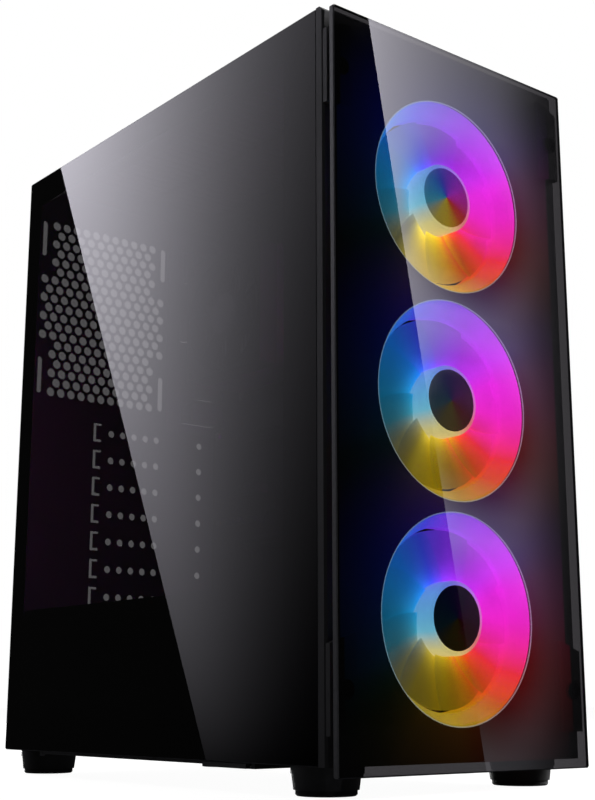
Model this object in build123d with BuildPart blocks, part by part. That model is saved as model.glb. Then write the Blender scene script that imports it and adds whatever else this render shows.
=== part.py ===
from build123d import *
import os
from math import cos, radians, sin, sqrt

# A desktop computer tower with a glass front, a glass side and three lit front fans.
# Millimetres. +Z is up, the front faces -Y and the glass side faces -X.
# The origin is at floor level, under the middle of the whole tower.

# ---------------------------------------------------------------- driving dimensions
overall_width = 188.0        # across the side panels
body_depth = 335.0           # steel body, front sheet to rear sheet
body_height = 410.0          # steel body, base sheet to top sheet
foot_height = 15.0           # the base sheet's height above the floor
sheet = 1.0                  # steel sheet
thin_sheet = 0.8             # lighter steel sheet
contact_gap = 0.2            # between a removable panel and the body

glass_thickness = 4.0        # tempered glass, front and side
glass_gap = 5.0              # air gap behind the front glass
bezel_depth = 6.0            # front bezel, face to steel body
bezel_face = 2.0             # bezel's face sheet
rear_overhang = 8.0          # thumbscrew heads behind the rear sheet
front_glass_height = 412.0
front_glass_bottom = 10.0    # the front glass hangs below the body
glass_corner_radius = 1.5
glass_edge_chamfer = 0.5
bezel_top_chamfer = 3.0

# fans in the front
fan_side = 120.0
fan_depth = 25.0
fan_pitch = 121.5            # centre to centre
fan_middle_height = 212.5    # centre of the middle fan
fan_bore_radius = 56.5
fan_screw_spacing = 105.0
light_ring_wall = 2.0
ring_mouth_depth = 9.0       # the light ring narrows over this depth
ring_throat_radius = 50.6
fan_tip_radius = 49.0
fan_hub_radius = 20.3
fan_blade_count = 9
bezel_opening_radius = 58.0

# expansion slots, rear vent and board openings
slot_count = 7
slot_pitch = 20.32
top_slot_height = 243.4      # middle of the top slot
slot_left = -31.5            # free end of the slot openings
slot_opening_height = 14.0
cover_gap = 2.1              # light gap at a cover's free end
rear_vent_x = -26.0
rear_vent_z = 333.0
rear_vent_half_width = 51.0
rear_vent_half_height = 64.3
rear_vent_row_step = 7.13
vent_notch = (8.5, 38.0)     # plain corners of the rear vent, beside the fan slots
vent_pitch = 8.5
vent_hole_radius = 3.25
io_width = 44.45
io_height = 158.75
io_past_board = 2.25          # the window's edge beyond the board's component side
io_bottom = 255.0

# board
board_face_x = 76.0          # component side of the board
board_thickness = 1.6
board_depth = 244.0
board_height = 305.0
board_bottom = 112.0
board_rear_gap = 3.0
standoff_height = 6.4

# power supply, shroud and drive
psu_width = 150.0
psu_height = 86.0
psu_depth = 140.0
psu_fan_radius = 58.0
shroud_top = 108.0
shroud_setback = 30.0        # shroud's front edge behind the steel front
drive_size = (101.6, 147.0, 26.1)

# feet
foot_radius = 18.5
foot_tip_radius = 17.0
foot_pad_height = 3.0
foot_inset_side = 21.1       # foot centre from the side of the tower
foot_inset_front = 19.0      # foot centre from the steel body's front
foot_inset_rear = 24.0

# buttons and ports on top
power_button_radius = 7.0
reset_button_radius = 4.0
button_clearance = 0.3
button_rise = 1.0            # how far a button stands above its plate

# screws
screw_radius = 1.6
screw_hole_radius = 1.75
screw_head_radius = 3.2
screw_head_height = 2.0
rear_screw_length = 3.0
board_screw_grip = 3.5       # thread that a board screw has in its standoff
thumbscrew_radius = 5.5

# ---------------------------------------------------------------- places worked out
half_width = overall_width / 2
overall_depth = glass_thickness + glass_gap + bezel_depth + body_depth + rear_overhang
glass_front_y = -overall_depth / 2
glass_back_y = glass_front_y + glass_thickness
bezel_front_y = glass_back_y + glass_gap
body_front_y = bezel_front_y + bezel_depth
body_rear_y = body_front_y + body_depth
body_bottom_z = foot_height
body_top_z = body_bottom_z + body_height
inner_bottom_z = body_bottom_z + sheet
inner_top_z = body_top_z - sheet
inner_front_y = body_front_y + sheet
inner_rear_y = body_rear_y - sheet
glass_inner_x = -half_width + glass_thickness
panel_frame_x = glass_inner_x + thin_sheet
body_left_x = panel_frame_x + contact_gap
inner_left_x = body_left_x + sheet
right_panel_x = half_width - sheet
body_right_x = right_panel_x - contact_gap
fan_front_y = bezel_front_y + bezel_face
fan_heights = {"bottom": fan_middle_height - fan_pitch, "middle": fan_middle_height,
               "top": fan_middle_height + fan_pitch}
board_back_x = board_face_x + board_thickness
io_left = board_face_x + io_past_board - io_width
tray_x = board_back_x + standoff_height
board_rear_y = inner_rear_y - board_rear_gap
board_front_y = board_rear_y - board_depth
board_top = board_bottom + board_height
slot_heights = [top_slot_height - slot_pitch * k for k in range(slot_count)]
slot_cover_right = tray_x - 1.0
slot_screw_x = board_back_x + 1.9
psu_bottom_z = inner_bottom_z
psu_top_z = psu_bottom_z + psu_height
psu_front_y = inner_rear_y - psu_depth
psu_middle_z = psu_bottom_z + psu_height / 2
psu_middle_y = inner_rear_y - psu_depth / 2
foot_spots = [(side * (half_width - foot_inset_side), y)
              for y in (body_front_y + foot_inset_front, body_rear_y - foot_inset_rear)
              for side in (-1, 1)]
fan_screw_spots = [(sx * fan_screw_spacing / 2, sz * fan_screw_spacing / 2)
                   for sx in (-1, 1) for sz in (-1, 1)]


# ---------------------------------------------------------------- helpers
def block(x_range, y_range, z_range, mode=Mode.ADD):
    """Add or cut a box that fills the given ranges."""
    ranges = (x_range, y_range, z_range)
    size = [high - low for low, high in ranges]
    centre = [(high + low) / 2 for low, high in ranges]
    with Locations(tuple(centre)):
        Box(*size, mode=mode)


def facing_rear(x, y, z):
    """A plane across the tower's depth: local x is +X, local y is -Z, and it looks rearwards."""
    return Plane(origin=(x, y, z), x_dir=(1, 0, 0), z_dir=(0, 1, 0))


def facing_left(x, y, z):
    """A plane across the tower's width: local x is +Y, local y is -Z, and it looks to -X."""
    return Plane(origin=(x, y, z), x_dir=(0, 1, 0), z_dir=(-1, 0, 0))


def facing_up(x, y, z):
    """A level plane: local x is +X and local y is +Y."""
    return Plane(origin=(x, y, z))


def post(plane, radius, length, mode=Mode.ADD):
    """Add or cut a round post that starts on the plane and runs along its normal."""
    with Locations(plane.location):
        Cylinder(radius, length, align=(Align.CENTER, Align.CENTER, Align.MIN), mode=mode)


def bore(plane, radius, length):
    """A round hole that starts on the plane and runs along its normal."""
    post(plane, radius, length, mode=Mode.SUBTRACT)


def hex_points(width, height, pitch):
    """Centres of staggered holes that fill a width by height field."""
    row_step = pitch * sqrt(3) / 2
    rows = int(height / row_step)
    points = []
    for row in range(rows + 1):
        shift = pitch / 2 * (row % 2)
        columns = int((width - shift) / pitch)
        span = columns * pitch
        for column in range(columns + 1):
            x = -span / 2 + column * pitch + (shift / 2 if columns == int(width / pitch) else 0)
            points.append((x, (row - rows / 2) * row_step))
    return points


def notched_field(half_width, half_height, notch, pitch, row_step):
    """Centres of staggered holes in a field whose corners stay plain over the notch's size."""
    points = []
    rows = int(half_height / row_step)
    columns = int(half_width / pitch) + 1
    for row in range(-rows, rows + 1):
        y = row * row_step
        shift = pitch / 2 * ((row + rows) % 2)
        reach = half_width - notch[0] if abs(y) > half_height - notch[1] else half_width
        for column in range(-columns, columns + 1):
            x = column * pitch + shift
            if abs(x) <= reach + 0.01:
                points.append((x, y))
    return points


def save(builder, name):
    """Label one finished piece and write it as a STEP file."""
    builder.part.label = name
    export_step(builder.part, f"parts/{name}.step")


os.makedirs("parts", exist_ok=True)

# ---------------------------------------------------------------- steel body
base_vent_x = 110.0
base_vent_y = 110.0
with BuildPart() as base_plate:
    with BuildSketch(facing_up(0, 0, body_bottom_z)):
        with Locations(((body_left_x + body_right_x) / 2, (body_front_y + body_rear_y) / 2)):
            Rectangle(body_right_x - body_left_x, body_depth)
        with Locations((0, psu_middle_y)):
            with Locations(hex_points(base_vent_x, base_vent_y, vent_pitch)):
                Circle(vent_hole_radius, mode=Mode.SUBTRACT)
        with Locations(foot_spots):
            Circle(screw_hole_radius, mode=Mode.SUBTRACT)
    extrude(amount=sheet)
save(base_plate, "base_plate")

front_opening_width = fan_side + 2.0
front_opening_height = 2 * fan_pitch + fan_side + 2.0
with BuildPart() as front_frame:
    block((body_left_x, body_right_x), (body_front_y, inner_front_y), (inner_bottom_z, inner_top_z))
    block((-front_opening_width / 2, front_opening_width / 2),
          (body_front_y, inner_front_y),
          (fan_middle_height - front_opening_height / 2, fan_middle_height + front_opening_height / 2),
          mode=Mode.SUBTRACT)
save(front_frame, "front_frame")

psu_opening_width = psu_width - 18.0
psu_opening_height = psu_height - 10.0
psu_screw_spots = [(sx * (psu_width / 2 - 5.0), psu_middle_z + sz * (psu_height / 2 - 11.0))
                   for sx in (-1, 1) for sz in (-1, 1)]
left_thumbscrew_x = body_left_x + 5.0
right_thumbscrew_x = body_right_x - 5.0
thumbscrew_heights = (body_bottom_z + 45.0, body_top_z - 45.0)
fan_slot_length = 27.0
fan_slot_width = 4.5
with BuildPart() as rear_panel:
    block((body_left_x, body_right_x), (inner_rear_y, body_rear_y), (inner_bottom_z, inner_top_z))
    with BuildSketch(facing_rear(0, inner_rear_y, 0)):
        with Locations((rear_vent_x, -rear_vent_z)):
            with Locations(notched_field(rear_vent_half_width, rear_vent_half_height, vent_notch,
                                         vent_pitch, rear_vent_row_step)):
                Circle(vent_hole_radius)
            with Locations(fan_screw_spots):
                SlotOverall(fan_slot_length, fan_slot_width, rotation=90)
    extrude(amount=sheet, mode=Mode.SUBTRACT)
    block((io_left, io_left + io_width), (inner_rear_y, body_rear_y),
          (io_bottom, io_bottom + io_height), mode=Mode.SUBTRACT)
    for height in slot_heights:
        block((slot_left, board_face_x - 1.0), (inner_rear_y, body_rear_y),
              (height - slot_opening_height / 2, height + slot_opening_height / 2),
              mode=Mode.SUBTRACT)
        bore(facing_rear(slot_screw_x, inner_rear_y, height), screw_hole_radius, sheet)
    block((-psu_opening_width / 2, psu_opening_width / 2), (inner_rear_y, body_rear_y),
          (psu_middle_z - psu_opening_height / 2, psu_middle_z + psu_opening_height / 2),
          mode=Mode.SUBTRACT)
    for x, z in psu_screw_spots:
        bore(facing_rear(x, inner_rear_y, z), screw_hole_radius, sheet)
    for x in (left_thumbscrew_x, right_thumbscrew_x):
        for z in thumbscrew_heights:
            bore(facing_rear(x, inner_rear_y, z), screw_hole_radius + 0.3, sheet)
save(rear_panel, "rear_panel")

io_plate_length = 104.0
io_plate_depth = 20.0
io_plate_y = body_front_y + 17.0
top_filter_length = 240.0
top_filter_width = 140.0
top_filter_y = body_rear_y - 20.0 - top_filter_length / 2
top_slot_length = 50.0
top_slot_width = 4.0
top_slot_step = 9.0
with BuildPart() as top_panel:
    block((body_left_x, body_right_x), (body_front_y, body_rear_y), (inner_top_z, body_top_z))
    block((-io_plate_length / 2, io_plate_length / 2),
          (io_plate_y - io_plate_depth / 2, io_plate_y + io_plate_depth / 2),
          (inner_top_z, body_top_z), mode=Mode.SUBTRACT)
    rows = int((top_filter_length - 24.0) / top_slot_step)
    with BuildSketch(facing_up(0, top_filter_y, inner_top_z)):
        with GridLocations(top_slot_length + 8.0, top_slot_step, 2, rows):
            SlotOverall(top_slot_length, top_slot_width)
    extrude(amount=sheet, mode=Mode.SUBTRACT)
save(top_panel, "top_panel")

window_front = 31.0
window_rear = 15.5
window_bottom = 22.0
window_top = 20.0
window_y = (body_front_y + window_front, body_rear_y - window_rear)
window_z = (body_bottom_z + window_bottom, body_top_z - window_top)
with BuildPart() as side_frame:
    block((body_left_x, inner_left_x), (inner_front_y, inner_rear_y), (inner_bottom_z, inner_top_z))
    block((body_left_x, inner_left_x), window_y, window_z, mode=Mode.SUBTRACT)
save(side_frame, "side_frame")

standoff_spots = [(board_rear_y - dy, board_top - dz)
                  for dz in (10.16, 165.1, 294.0) for dy in (6.35, 130.0, 236.0)]
cable_slot_y = board_front_y - 16.0
tray_slots = [(cable_slot_y, body_top_z - 90.0, 22.0, 74.0),
              (cable_slot_y, body_top_z - 200.0, 22.0, 74.0),
              (board_rear_y - 95.0, board_top - 95.0, 90.0, 84.0)]
with BuildPart() as board_tray:
    block((tray_x, tray_x + sheet), (inner_front_y + shroud_setback, inner_rear_y),
          (shroud_top, inner_top_z))
    with BuildSketch(facing_left(tray_x + sheet, 0, 0)):
        for y, z, length, height in tray_slots:
            with Locations((y, -z)):
                Rectangle(length, height)
        with Locations([(y, -z) for y, z in standoff_spots]):
            Circle(screw_hole_radius)
    extrude(amount=sheet, mode=Mode.SUBTRACT)
    for z in (inner_top_z - sheet, shroud_top):
        block((tray_x + sheet, body_right_x - 2.0), (inner_front_y + shroud_setback, inner_rear_y),
              (z, z + sheet))
save(board_tray, "board_tray")

shroud_slot_step = 9.0
with BuildPart() as psu_shroud:
    block((inner_left_x, body_right_x - 2.0), (inner_front_y + shroud_setback, inner_rear_y),
          (shroud_top - sheet, shroud_top))
    block((inner_left_x, inner_left_x + sheet), (inner_front_y + shroud_setback, inner_rear_y),
          (inner_bottom_z, shroud_top - sheet))
    with BuildSketch(facing_up(0, psu_front_y - 55.0, shroud_top - sheet)):
        with GridLocations(58.0, shroud_slot_step, 2, 9):
            SlotOverall(50.0, 3.0)
    extrude(amount=sheet, mode=Mode.SUBTRACT)
save(psu_shroud, "psu_shroud")

# ---------------------------------------------------------------- front bezel
bezel_wall = 2.5
tab_width = 16.0
tab_rise = glass_gap - 1.8
tab_heights = ((body_bottom_z + 15.0, body_bottom_z + 60.0),
               (body_top_z - 59.0, body_top_z - 15.0))
stud_spots = [(side * (half_width - tab_width / 2), (low + high) / 2)
              for side in (-1, 1) for low, high in tab_heights]
stud_pin_radius = 2.5
stud_head_radius = 5.0
with BuildPart() as front_bezel:
    block((-half_width, half_width), (bezel_front_y, body_front_y), (body_bottom_z, body_top_z))
    chamfer(front_bezel.edges().filter_by(Axis.Z).group_by(Axis.Y)[0], 1.2)
    chamfer(front_bezel.edges().group_by(Axis.Z)[-1].sort_by(Axis.Y)[0], bezel_top_chamfer)
    block((-half_width + bezel_wall, half_width - bezel_wall), (bezel_front_y + bezel_face, body_front_y),
          (body_bottom_z + bezel_wall, body_top_z - bezel_wall), mode=Mode.SUBTRACT)
    for side in (-1, 1):
        outer = side * half_width
        inner = side * (half_width - tab_width)
        for low, high in tab_heights:
            with BuildSketch(facing_rear(0, bezel_front_y - tab_rise, 0)):
                with BuildLine():
                    Polyline((inner, -low), (outer, -low), (outer, -high), (inner, -(high + 6.0)),
                             (inner, -low))
                make_face()
            extrude(amount=tab_rise)
            stud_x = (outer + inner) / 2
            stud_z = (low + high) / 2
            post(facing_rear(stud_x, bezel_front_y, stud_z), stud_pin_radius + 2.3, bezel_depth)
            bore(facing_rear(stud_x, bezel_front_y - tab_rise, stud_z),
                 stud_pin_radius + 0.1, tab_rise + bezel_depth)
    for height in fan_heights.values():
        bore(facing_rear(0, bezel_front_y, height), bezel_opening_radius, bezel_face)
        for x, z in fan_screw_spots:
            bore(facing_rear(x, bezel_front_y, height + z), screw_hole_radius + 0.3, bezel_face)
save(front_bezel, "front_bezel")

# ---------------------------------------------------------------- feet
foot_flange_height = 4.0
with BuildPart() as feet:
    for x, y in foot_spots:
        with BuildSketch(facing_up(x, y, foot_pad_height)):
            Circle(foot_tip_radius)
        with BuildSketch(facing_up(x, y, body_bottom_z - foot_flange_height)):
            Circle(foot_radius - 0.5)
        loft()
        post(facing_up(x, y, body_bottom_z - foot_flange_height), foot_radius, foot_flange_height)
        bore(facing_up(x, y, foot_pad_height), screw_head_radius + 0.2, body_bottom_z - foot_pad_height)
save(feet, "feet")

with BuildPart() as foot_pads:
    for x, y in foot_spots:
        post(facing_up(x, y, 0), foot_tip_radius - 1.0, foot_pad_height)
    chamfer(foot_pads.edges().group_by(Axis.Z)[0], 0.8)
    for x, y in foot_spots:
        post(facing_up(x, y, foot_pad_height), screw_head_radius, body_bottom_z - foot_pad_height)
        post(facing_up(x, y, body_bottom_z), screw_hole_radius - 0.05, sheet)
save(foot_pads, "foot_pads")


# ---------------------------------------------------------------- fans
def fan_frame(plane, side, bore_radius, hub_radius, depth, screw_spots, ring_wall=0.0):
    """A square fan frame with corner holes, a wider seat for a light ring and a strutted hub."""
    strut_depth = 3.0
    with BuildPart() as frame:
        with BuildSketch(plane):
            RectangleRounded(side, side, side / 30)
            Circle(bore_radius, mode=Mode.SUBTRACT)
            with Locations(screw_spots):
                Circle(screw_hole_radius + 0.3, mode=Mode.SUBTRACT)
        extrude(amount=depth)
        if ring_wall:
            bore(plane, bore_radius + ring_wall + 0.1, depth - strut_depth - 2.0)
        with BuildSketch(plane.offset(depth - strut_depth)):
            Circle(hub_radius)
            with PolarLocations((bore_radius + hub_radius) / 2, 4, start_angle=20):
                Rectangle(bore_radius - hub_radius + 3.0, 4.0)
        extrude(amount=strut_depth)
    return frame


def fan_motor(plane, hub_radius, depth, shaft_radius):
    """Add a round stator on a frame's hub, with a bearing bore for the rotor's shaft."""
    strut_depth = 3.0
    front_gap = 3.5
    length = depth - strut_depth - front_gap
    coil_radius = hub_radius - 3.5
    start = plane.offset(front_gap)
    post(start, coil_radius, length)
    bore(start, coil_radius - 2.0, length)
    post(start, shaft_radius + 1.5, length)
    for turn in range(2):
        with Locations(start.location * Rot(0, 0, 90 * turn)):
            Box(2 * coil_radius - 2.0, 4.0, length, align=(Align.CENTER, Align.CENTER, Align.MIN))
    bore(start, shaft_radius + 0.05, length)


def fan_rotor(plane, tip_radius, hub_radius, depth, blade_count, shaft_radius):
    """Cup hub with a central shaft and twisted blades. The plane is the frame's front face."""
    strut_depth = 3.0
    cup_wall = 1.5
    cup_front = 0.5
    cup_depth = depth - strut_depth - 1.0 - cup_front
    middle = cup_front + cup_depth / 2
    with BuildPart() as rotor:
        post(plane.offset(cup_front), hub_radius, cup_depth)
        bore(plane.offset(cup_front + cup_wall), hub_radius - cup_wall, cup_depth)
        post(plane.offset(cup_front + cup_wall), shaft_radius, cup_depth - cup_wall - 0.5)
        for index in range(blade_count):
            turn = Rot(0, 0, 360 / blade_count * index)
            root = Plane(plane.location * turn * Pos(hub_radius - cup_wall / 2, 0, middle)
                         * Rot(0, 90, 0) * Rot(0, 0, 42))
            tip = Plane(plane.location * turn * Pos(tip_radius, 0, middle)
                        * Rot(0, 90, 0) * Rot(0, 0, 58))
            with BuildSketch(root):
                Rectangle(cup_depth * 0.75, 1.6)
            with BuildSketch(tip):
                Rectangle(cup_depth * 1.05, 1.2)
            loft()
    return rotor


shaft_radius = 1.5
ring_depth = fan_depth - 5.0
for name, height in fan_heights.items():
    fan_plane = facing_rear(0, fan_front_y, height)
    save(fan_frame(fan_plane, fan_side, fan_bore_radius, fan_hub_radius, fan_depth,
                   fan_screw_spots, light_ring_wall), f"fan_frame_{name}")
    with BuildPart() as light_ring:
        post(fan_plane, fan_bore_radius + light_ring_wall, ring_depth)
        bore(fan_plane, ring_throat_radius, ring_depth)
        with Locations(fan_plane.offset(ring_mouth_depth / 2).location):
            Cone(fan_bore_radius, ring_throat_radius, ring_mouth_depth, mode=Mode.SUBTRACT)
    save(light_ring, f"fan_light_ring_{name}")
    save(fan_rotor(fan_plane, fan_tip_radius, fan_hub_radius, fan_depth, fan_blade_count,
                   shaft_radius), f"fan_rotor_{name}")

fan_screw_length = 9.0
with BuildPart() as fan_screws:
    for height in fan_heights.values():
        for x, z in fan_screw_spots:
            post(facing_rear(x, bezel_front_y, height + z), screw_radius, fan_screw_length)
            post(facing_rear(x, bezel_front_y - screw_head_height / 2, height + z),
                 screw_head_radius, screw_head_height / 2)
save(fan_screws, "fan_screws")

# ---------------------------------------------------------------- front glass
with BuildPart() as front_glass:
    with BuildSketch(facing_rear(0, glass_front_y, 0)):
        with Locations((0, -(front_glass_bottom + front_glass_height / 2))):
            RectangleRounded(overall_width, front_glass_height, glass_corner_radius)
    extrude(amount=glass_thickness)
    chamfer(front_glass.edges().group_by(Axis.Y)[0] + front_glass.edges().group_by(Axis.Y)[-1],
            glass_edge_chamfer)
save(front_glass, "front_glass")

with BuildPart() as front_glass_studs:
    for x, z in stud_spots:
        post(facing_rear(x, glass_back_y, z), stud_head_radius, glass_gap - tab_rise)
        post(facing_rear(x, glass_back_y, z), stud_pin_radius, glass_gap + bezel_depth - 1.0)
save(front_glass_studs, "front_glass_studs")

# ---------------------------------------------------------------- side panels
flange_width = 9.5
panel_bottom_z = body_bottom_z
panel_top_z = body_top_z
panel_middle = ((body_front_y + body_rear_y) / 2, (panel_bottom_z + panel_top_z) / 2)
with BuildPart() as left_glass:
    with BuildSketch(facing_left(glass_inner_x, 0, 0)):
        with Locations((panel_middle[0], -panel_middle[1])):
            RectangleRounded(body_depth, panel_top_z - panel_bottom_z, glass_corner_radius)
    extrude(amount=glass_thickness)
    chamfer(left_glass.edges().group_by(Axis.X)[0], glass_edge_chamfer)
save(left_glass, "left_glass")


def thumbscrews(x):
    """Two captive thumbscrews through a side panel's rear flange."""
    with BuildPart() as screws:
        for z in thumbscrew_heights:
            post(facing_rear(x, body_rear_y + thin_sheet, z), thumbscrew_radius,
                 rear_overhang - thin_sheet)
            post(facing_rear(x, body_rear_y - 4.0, z), screw_radius, 4.0 + thin_sheet)
    return screws


with BuildPart() as left_panel_frame:
    block((glass_inner_x, panel_frame_x), (body_front_y, body_rear_y), (panel_bottom_z, panel_top_z))
    block((glass_inner_x, panel_frame_x), window_y, window_z, mode=Mode.SUBTRACT)
    block((glass_inner_x, body_left_x + flange_width), (body_rear_y, body_rear_y + thin_sheet),
          (panel_bottom_z, panel_top_z))
    for z in thumbscrew_heights:
        bore(facing_rear(left_thumbscrew_x, body_rear_y, z), screw_radius, thin_sheet)
save(left_panel_frame, "left_panel_frame")
save(thumbscrews(left_thumbscrew_x), "left_thumbscrews")

with BuildPart() as right_panel:
    block((right_panel_x, half_width), (body_front_y, body_rear_y), (panel_bottom_z, panel_top_z))
    block((body_right_x - flange_width, half_width), (body_rear_y, body_rear_y + thin_sheet),
          (panel_bottom_z, panel_top_z))
    for z in thumbscrew_heights:
        bore(facing_rear(right_thumbscrew_x, body_rear_y, z), screw_radius, thin_sheet)
save(right_panel, "right_panel")
save(thumbscrews(right_thumbscrew_x), "right_thumbscrews")

# ---------------------------------------------------------------- buttons and ports on top
io_plate_top = body_top_z + 0.6
io_plate_thickness = 3.0
io_board_top = body_top_z - 14.0
power_x = -36.0
reset_x = -20.0
usb_xs = (0.0, 20.0)
jack_xs = (34.0, 44.0)
usb_shell = (14.4, 6.6)
jack_radius = 3.2
button_travel = 1.5
with BuildPart() as io_housing:
    block((-io_plate_length / 2, io_plate_length / 2),
          (io_plate_y - io_plate_depth / 2, io_plate_y + io_plate_depth / 2),
          (body_top_z - io_plate_thickness, io_plate_top))
    block((-io_plate_length / 2 - 4.0, io_plate_length / 2 + 4.0),
          (io_plate_y - io_plate_depth / 2 - 3.0, io_plate_y + io_plate_depth / 2 + 3.0),
          (inner_top_z - 2.0, inner_top_z))
    for side in (-1, 1):
        edge = side * io_plate_length / 2
        block((min(edge, edge + 4.0 * side), max(edge, edge + 4.0 * side)),
              (io_plate_y - io_plate_depth / 2, io_plate_y + io_plate_depth / 2),
              (io_board_top - 4.0, inner_top_z - 2.0))
    drop = io_plate_thickness + 1.0
    bore(facing_up(power_x, io_plate_y, body_top_z - drop), power_button_radius + button_clearance, drop + 1.0)
    bore(facing_up(reset_x, io_plate_y, body_top_z - drop), reset_button_radius + button_clearance, drop + 1.0)
    for x in usb_xs:
        block((x - usb_shell[0] / 2 - 0.1, x + usb_shell[0] / 2 + 0.1),
              (io_plate_y - usb_shell[1] / 2 - 0.1, io_plate_y + usb_shell[1] / 2 + 0.1),
              (body_top_z - drop, io_plate_top), mode=Mode.SUBTRACT)
    for x in jack_xs:
        bore(facing_up(x, io_plate_y, body_top_z - drop), jack_radius + 0.1, drop + 1.0)
save(io_housing, "io_housing")

switch_height = 4.0
with BuildPart() as io_board:
    block((-io_plate_length / 2, io_plate_length / 2),
          (io_plate_y - io_plate_depth / 2 + 1.0, io_plate_y + io_plate_depth / 2 - 1.0),
          (io_board_top - 1.6, io_board_top))
    for x in (power_x, reset_x):
        block((x - 3.0, x + 3.0), (io_plate_y - 3.0, io_plate_y + 3.0),
              (io_board_top, io_board_top + switch_height))
save(io_board, "io_board")

with BuildPart() as usb_ports:
    for x in usb_xs:
        half_x = usb_shell[0] / 2
        half_y = usb_shell[1] / 2
        block((x - half_x, x + half_x), (io_plate_y - half_y, io_plate_y + half_y),
              (io_board_top, io_plate_top))
        block((x - half_x + 0.8, x + half_x - 0.8), (io_plate_y - half_y + 0.8, io_plate_y + half_y - 0.8),
              (io_board_top + 2.0, io_plate_top), mode=Mode.SUBTRACT)
        block((x - half_x + 1.6, x + half_x - 1.6), (io_plate_y - half_y + 0.8, io_plate_y - half_y + 2.4),
              (io_board_top + 2.0, io_plate_top - 1.5))
save(usb_ports, "usb_ports")

with BuildPart() as audio_jacks:
    for x in jack_xs:
        post(facing_up(x, io_plate_y, io_board_top), jack_radius, io_plate_top - io_board_top)
        bore(facing_up(x, io_plate_y, io_board_top + 1.0), 1.8, io_plate_top - io_board_top)
save(audio_jacks, "audio_jacks")


def push_button(x, radius):
    """Round button cap with a stem that stands just over its switch at rest."""
    stem_bottom = io_board_top + switch_height + button_travel + 0.1
    with BuildPart() as button:
        post(facing_up(x, io_plate_y, io_plate_top - 4.0), radius, 4.0 + button_rise)
        chamfer(button.edges().group_by(Axis.Z)[-1], 0.4)
        post(facing_up(x, io_plate_y, stem_bottom), 1.5, io_plate_top - 4.0 - stem_bottom)
    return button


save(push_button(power_x, power_button_radius), "power_button")
save(push_button(reset_x, reset_button_radius), "reset_button")

# ---------------------------------------------------------------- dust filters
filter_thickness = 1.5
with BuildPart() as top_filter:
    with BuildSketch(facing_up(0, top_filter_y, body_top_z)):
        RectangleRounded(top_filter_width, top_filter_length, 6.0)
        with GridLocations(top_filter_width / 2 - 4.0, top_slot_step / 2, 2, 49):
            SlotOverall(top_filter_width / 2 - 10.0, 2.4, mode=Mode.SUBTRACT)
    extrude(amount=filter_thickness)
save(top_filter, "top_filter")

bottom_filter_front = body_front_y + 61.0
bottom_filter_rear = foot_spots[-1][1] - foot_radius - 4.0
bottom_filter_right = half_width - foot_inset_side - foot_radius + 8.0
filter_tab_length = 40.0
filter_slot_step = 5.5
filter_drop = 0.3
runner_depth = 3.0
with BuildPart() as bottom_filter:
    filter_top = body_bottom_z - filter_drop
    filter_x = (-half_width + 4.0, bottom_filter_right)
    block(filter_x, (bottom_filter_front, bottom_filter_rear), (filter_top - filter_thickness, filter_top))
    block((-half_width + 1.0, filter_x[0]), (bottom_filter_front, bottom_filter_front + filter_tab_length),
          (filter_top - 2.6, filter_top))
    length = bottom_filter_rear - bottom_filter_front
    rows = int((length - 16.0) / filter_slot_step)
    width = filter_x[1] - filter_x[0]
    with BuildSketch(facing_up(sum(filter_x) / 2, bottom_filter_front + length / 2,
                               filter_top - filter_thickness)):
        with GridLocations(width / 2 - 6.0, filter_slot_step, 2, rows):
            SlotOverall(width / 2 - 12.0, 2.8)
    extrude(amount=filter_thickness, mode=Mode.SUBTRACT)
save(bottom_filter, "bottom_filter")

with BuildPart() as filter_runners:
    for y, side in ((bottom_filter_front, -1), (bottom_filter_rear, 1)):
        outer = y + side * 4.0
        wall = y + side * 0.3
        lip = y - side * 3.0
        block(filter_x, (min(wall, outer), max(wall, outer)), (body_bottom_z - runner_depth, body_bottom_z))
        block(filter_x, (min(lip, outer), max(lip, outer)),
              (body_bottom_z - runner_depth, body_bottom_z - filter_drop - filter_thickness - 0.2))
save(filter_runners, "filter_runners")

# ---------------------------------------------------------------- rear: slot covers and screws
cover_left = slot_left + cover_gap
cover_shoulder = slot_left + 6.5
cover_hole_pitch = 10.0
cover_hole_radius = 2.6
cover_hole_columns = (0, 1, 2, 3, 4, 8)
with BuildPart() as slot_covers:
    for height in slot_heights:
        block((cover_shoulder, slot_cover_right), (inner_rear_y - thin_sheet, inner_rear_y),
              (height - 9.2, height + 9.2))
        block((cover_left, cover_shoulder), (inner_rear_y - thin_sheet, inner_rear_y),
              (height - 5.2, height + 5.2))
        with BuildSketch(facing_rear(0, inner_rear_y - thin_sheet, height)):
            with Locations([(cover_shoulder + cover_hole_pitch * (k + 0.85), 0)
                            for k in cover_hole_columns]):
                Circle(cover_hole_radius)
        extrude(amount=thin_sheet, mode=Mode.SUBTRACT)
        bore(facing_rear(slot_screw_x, inner_rear_y - thin_sheet, height), screw_hole_radius, thin_sheet)
save(slot_covers, "slot_covers")

# ---------------------------------------------------------------- board and what is on it
port_depth = 16.0
port_rows = ((io_bottom + 12.0, 14.0, 30.0), (io_bottom + 34.0, 16.0, 17.0),
             (io_bottom + 56.0, 16.0, 15.0), (io_bottom + 80.0, 18.0, 32.0),
             (io_bottom + 106.0, 18.0, 15.0), (io_bottom + 132.0, 24.0, 30.0))
with BuildPart() as io_shield:
    block((io_left - 2.0, io_left + io_width + 2.0), (inner_rear_y - 0.5, inner_rear_y),
          (io_bottom - 2.0, io_bottom + io_height + 2.0))
    for z, height, width in port_rows:
        block((board_face_x - width - 0.2, board_face_x + 0.2), (inner_rear_y - 0.5, inner_rear_y),
              (z - height / 2 - 0.2, z + height / 2 + 0.2), mode=Mode.SUBTRACT)
save(io_shield, "io_shield")

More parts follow.
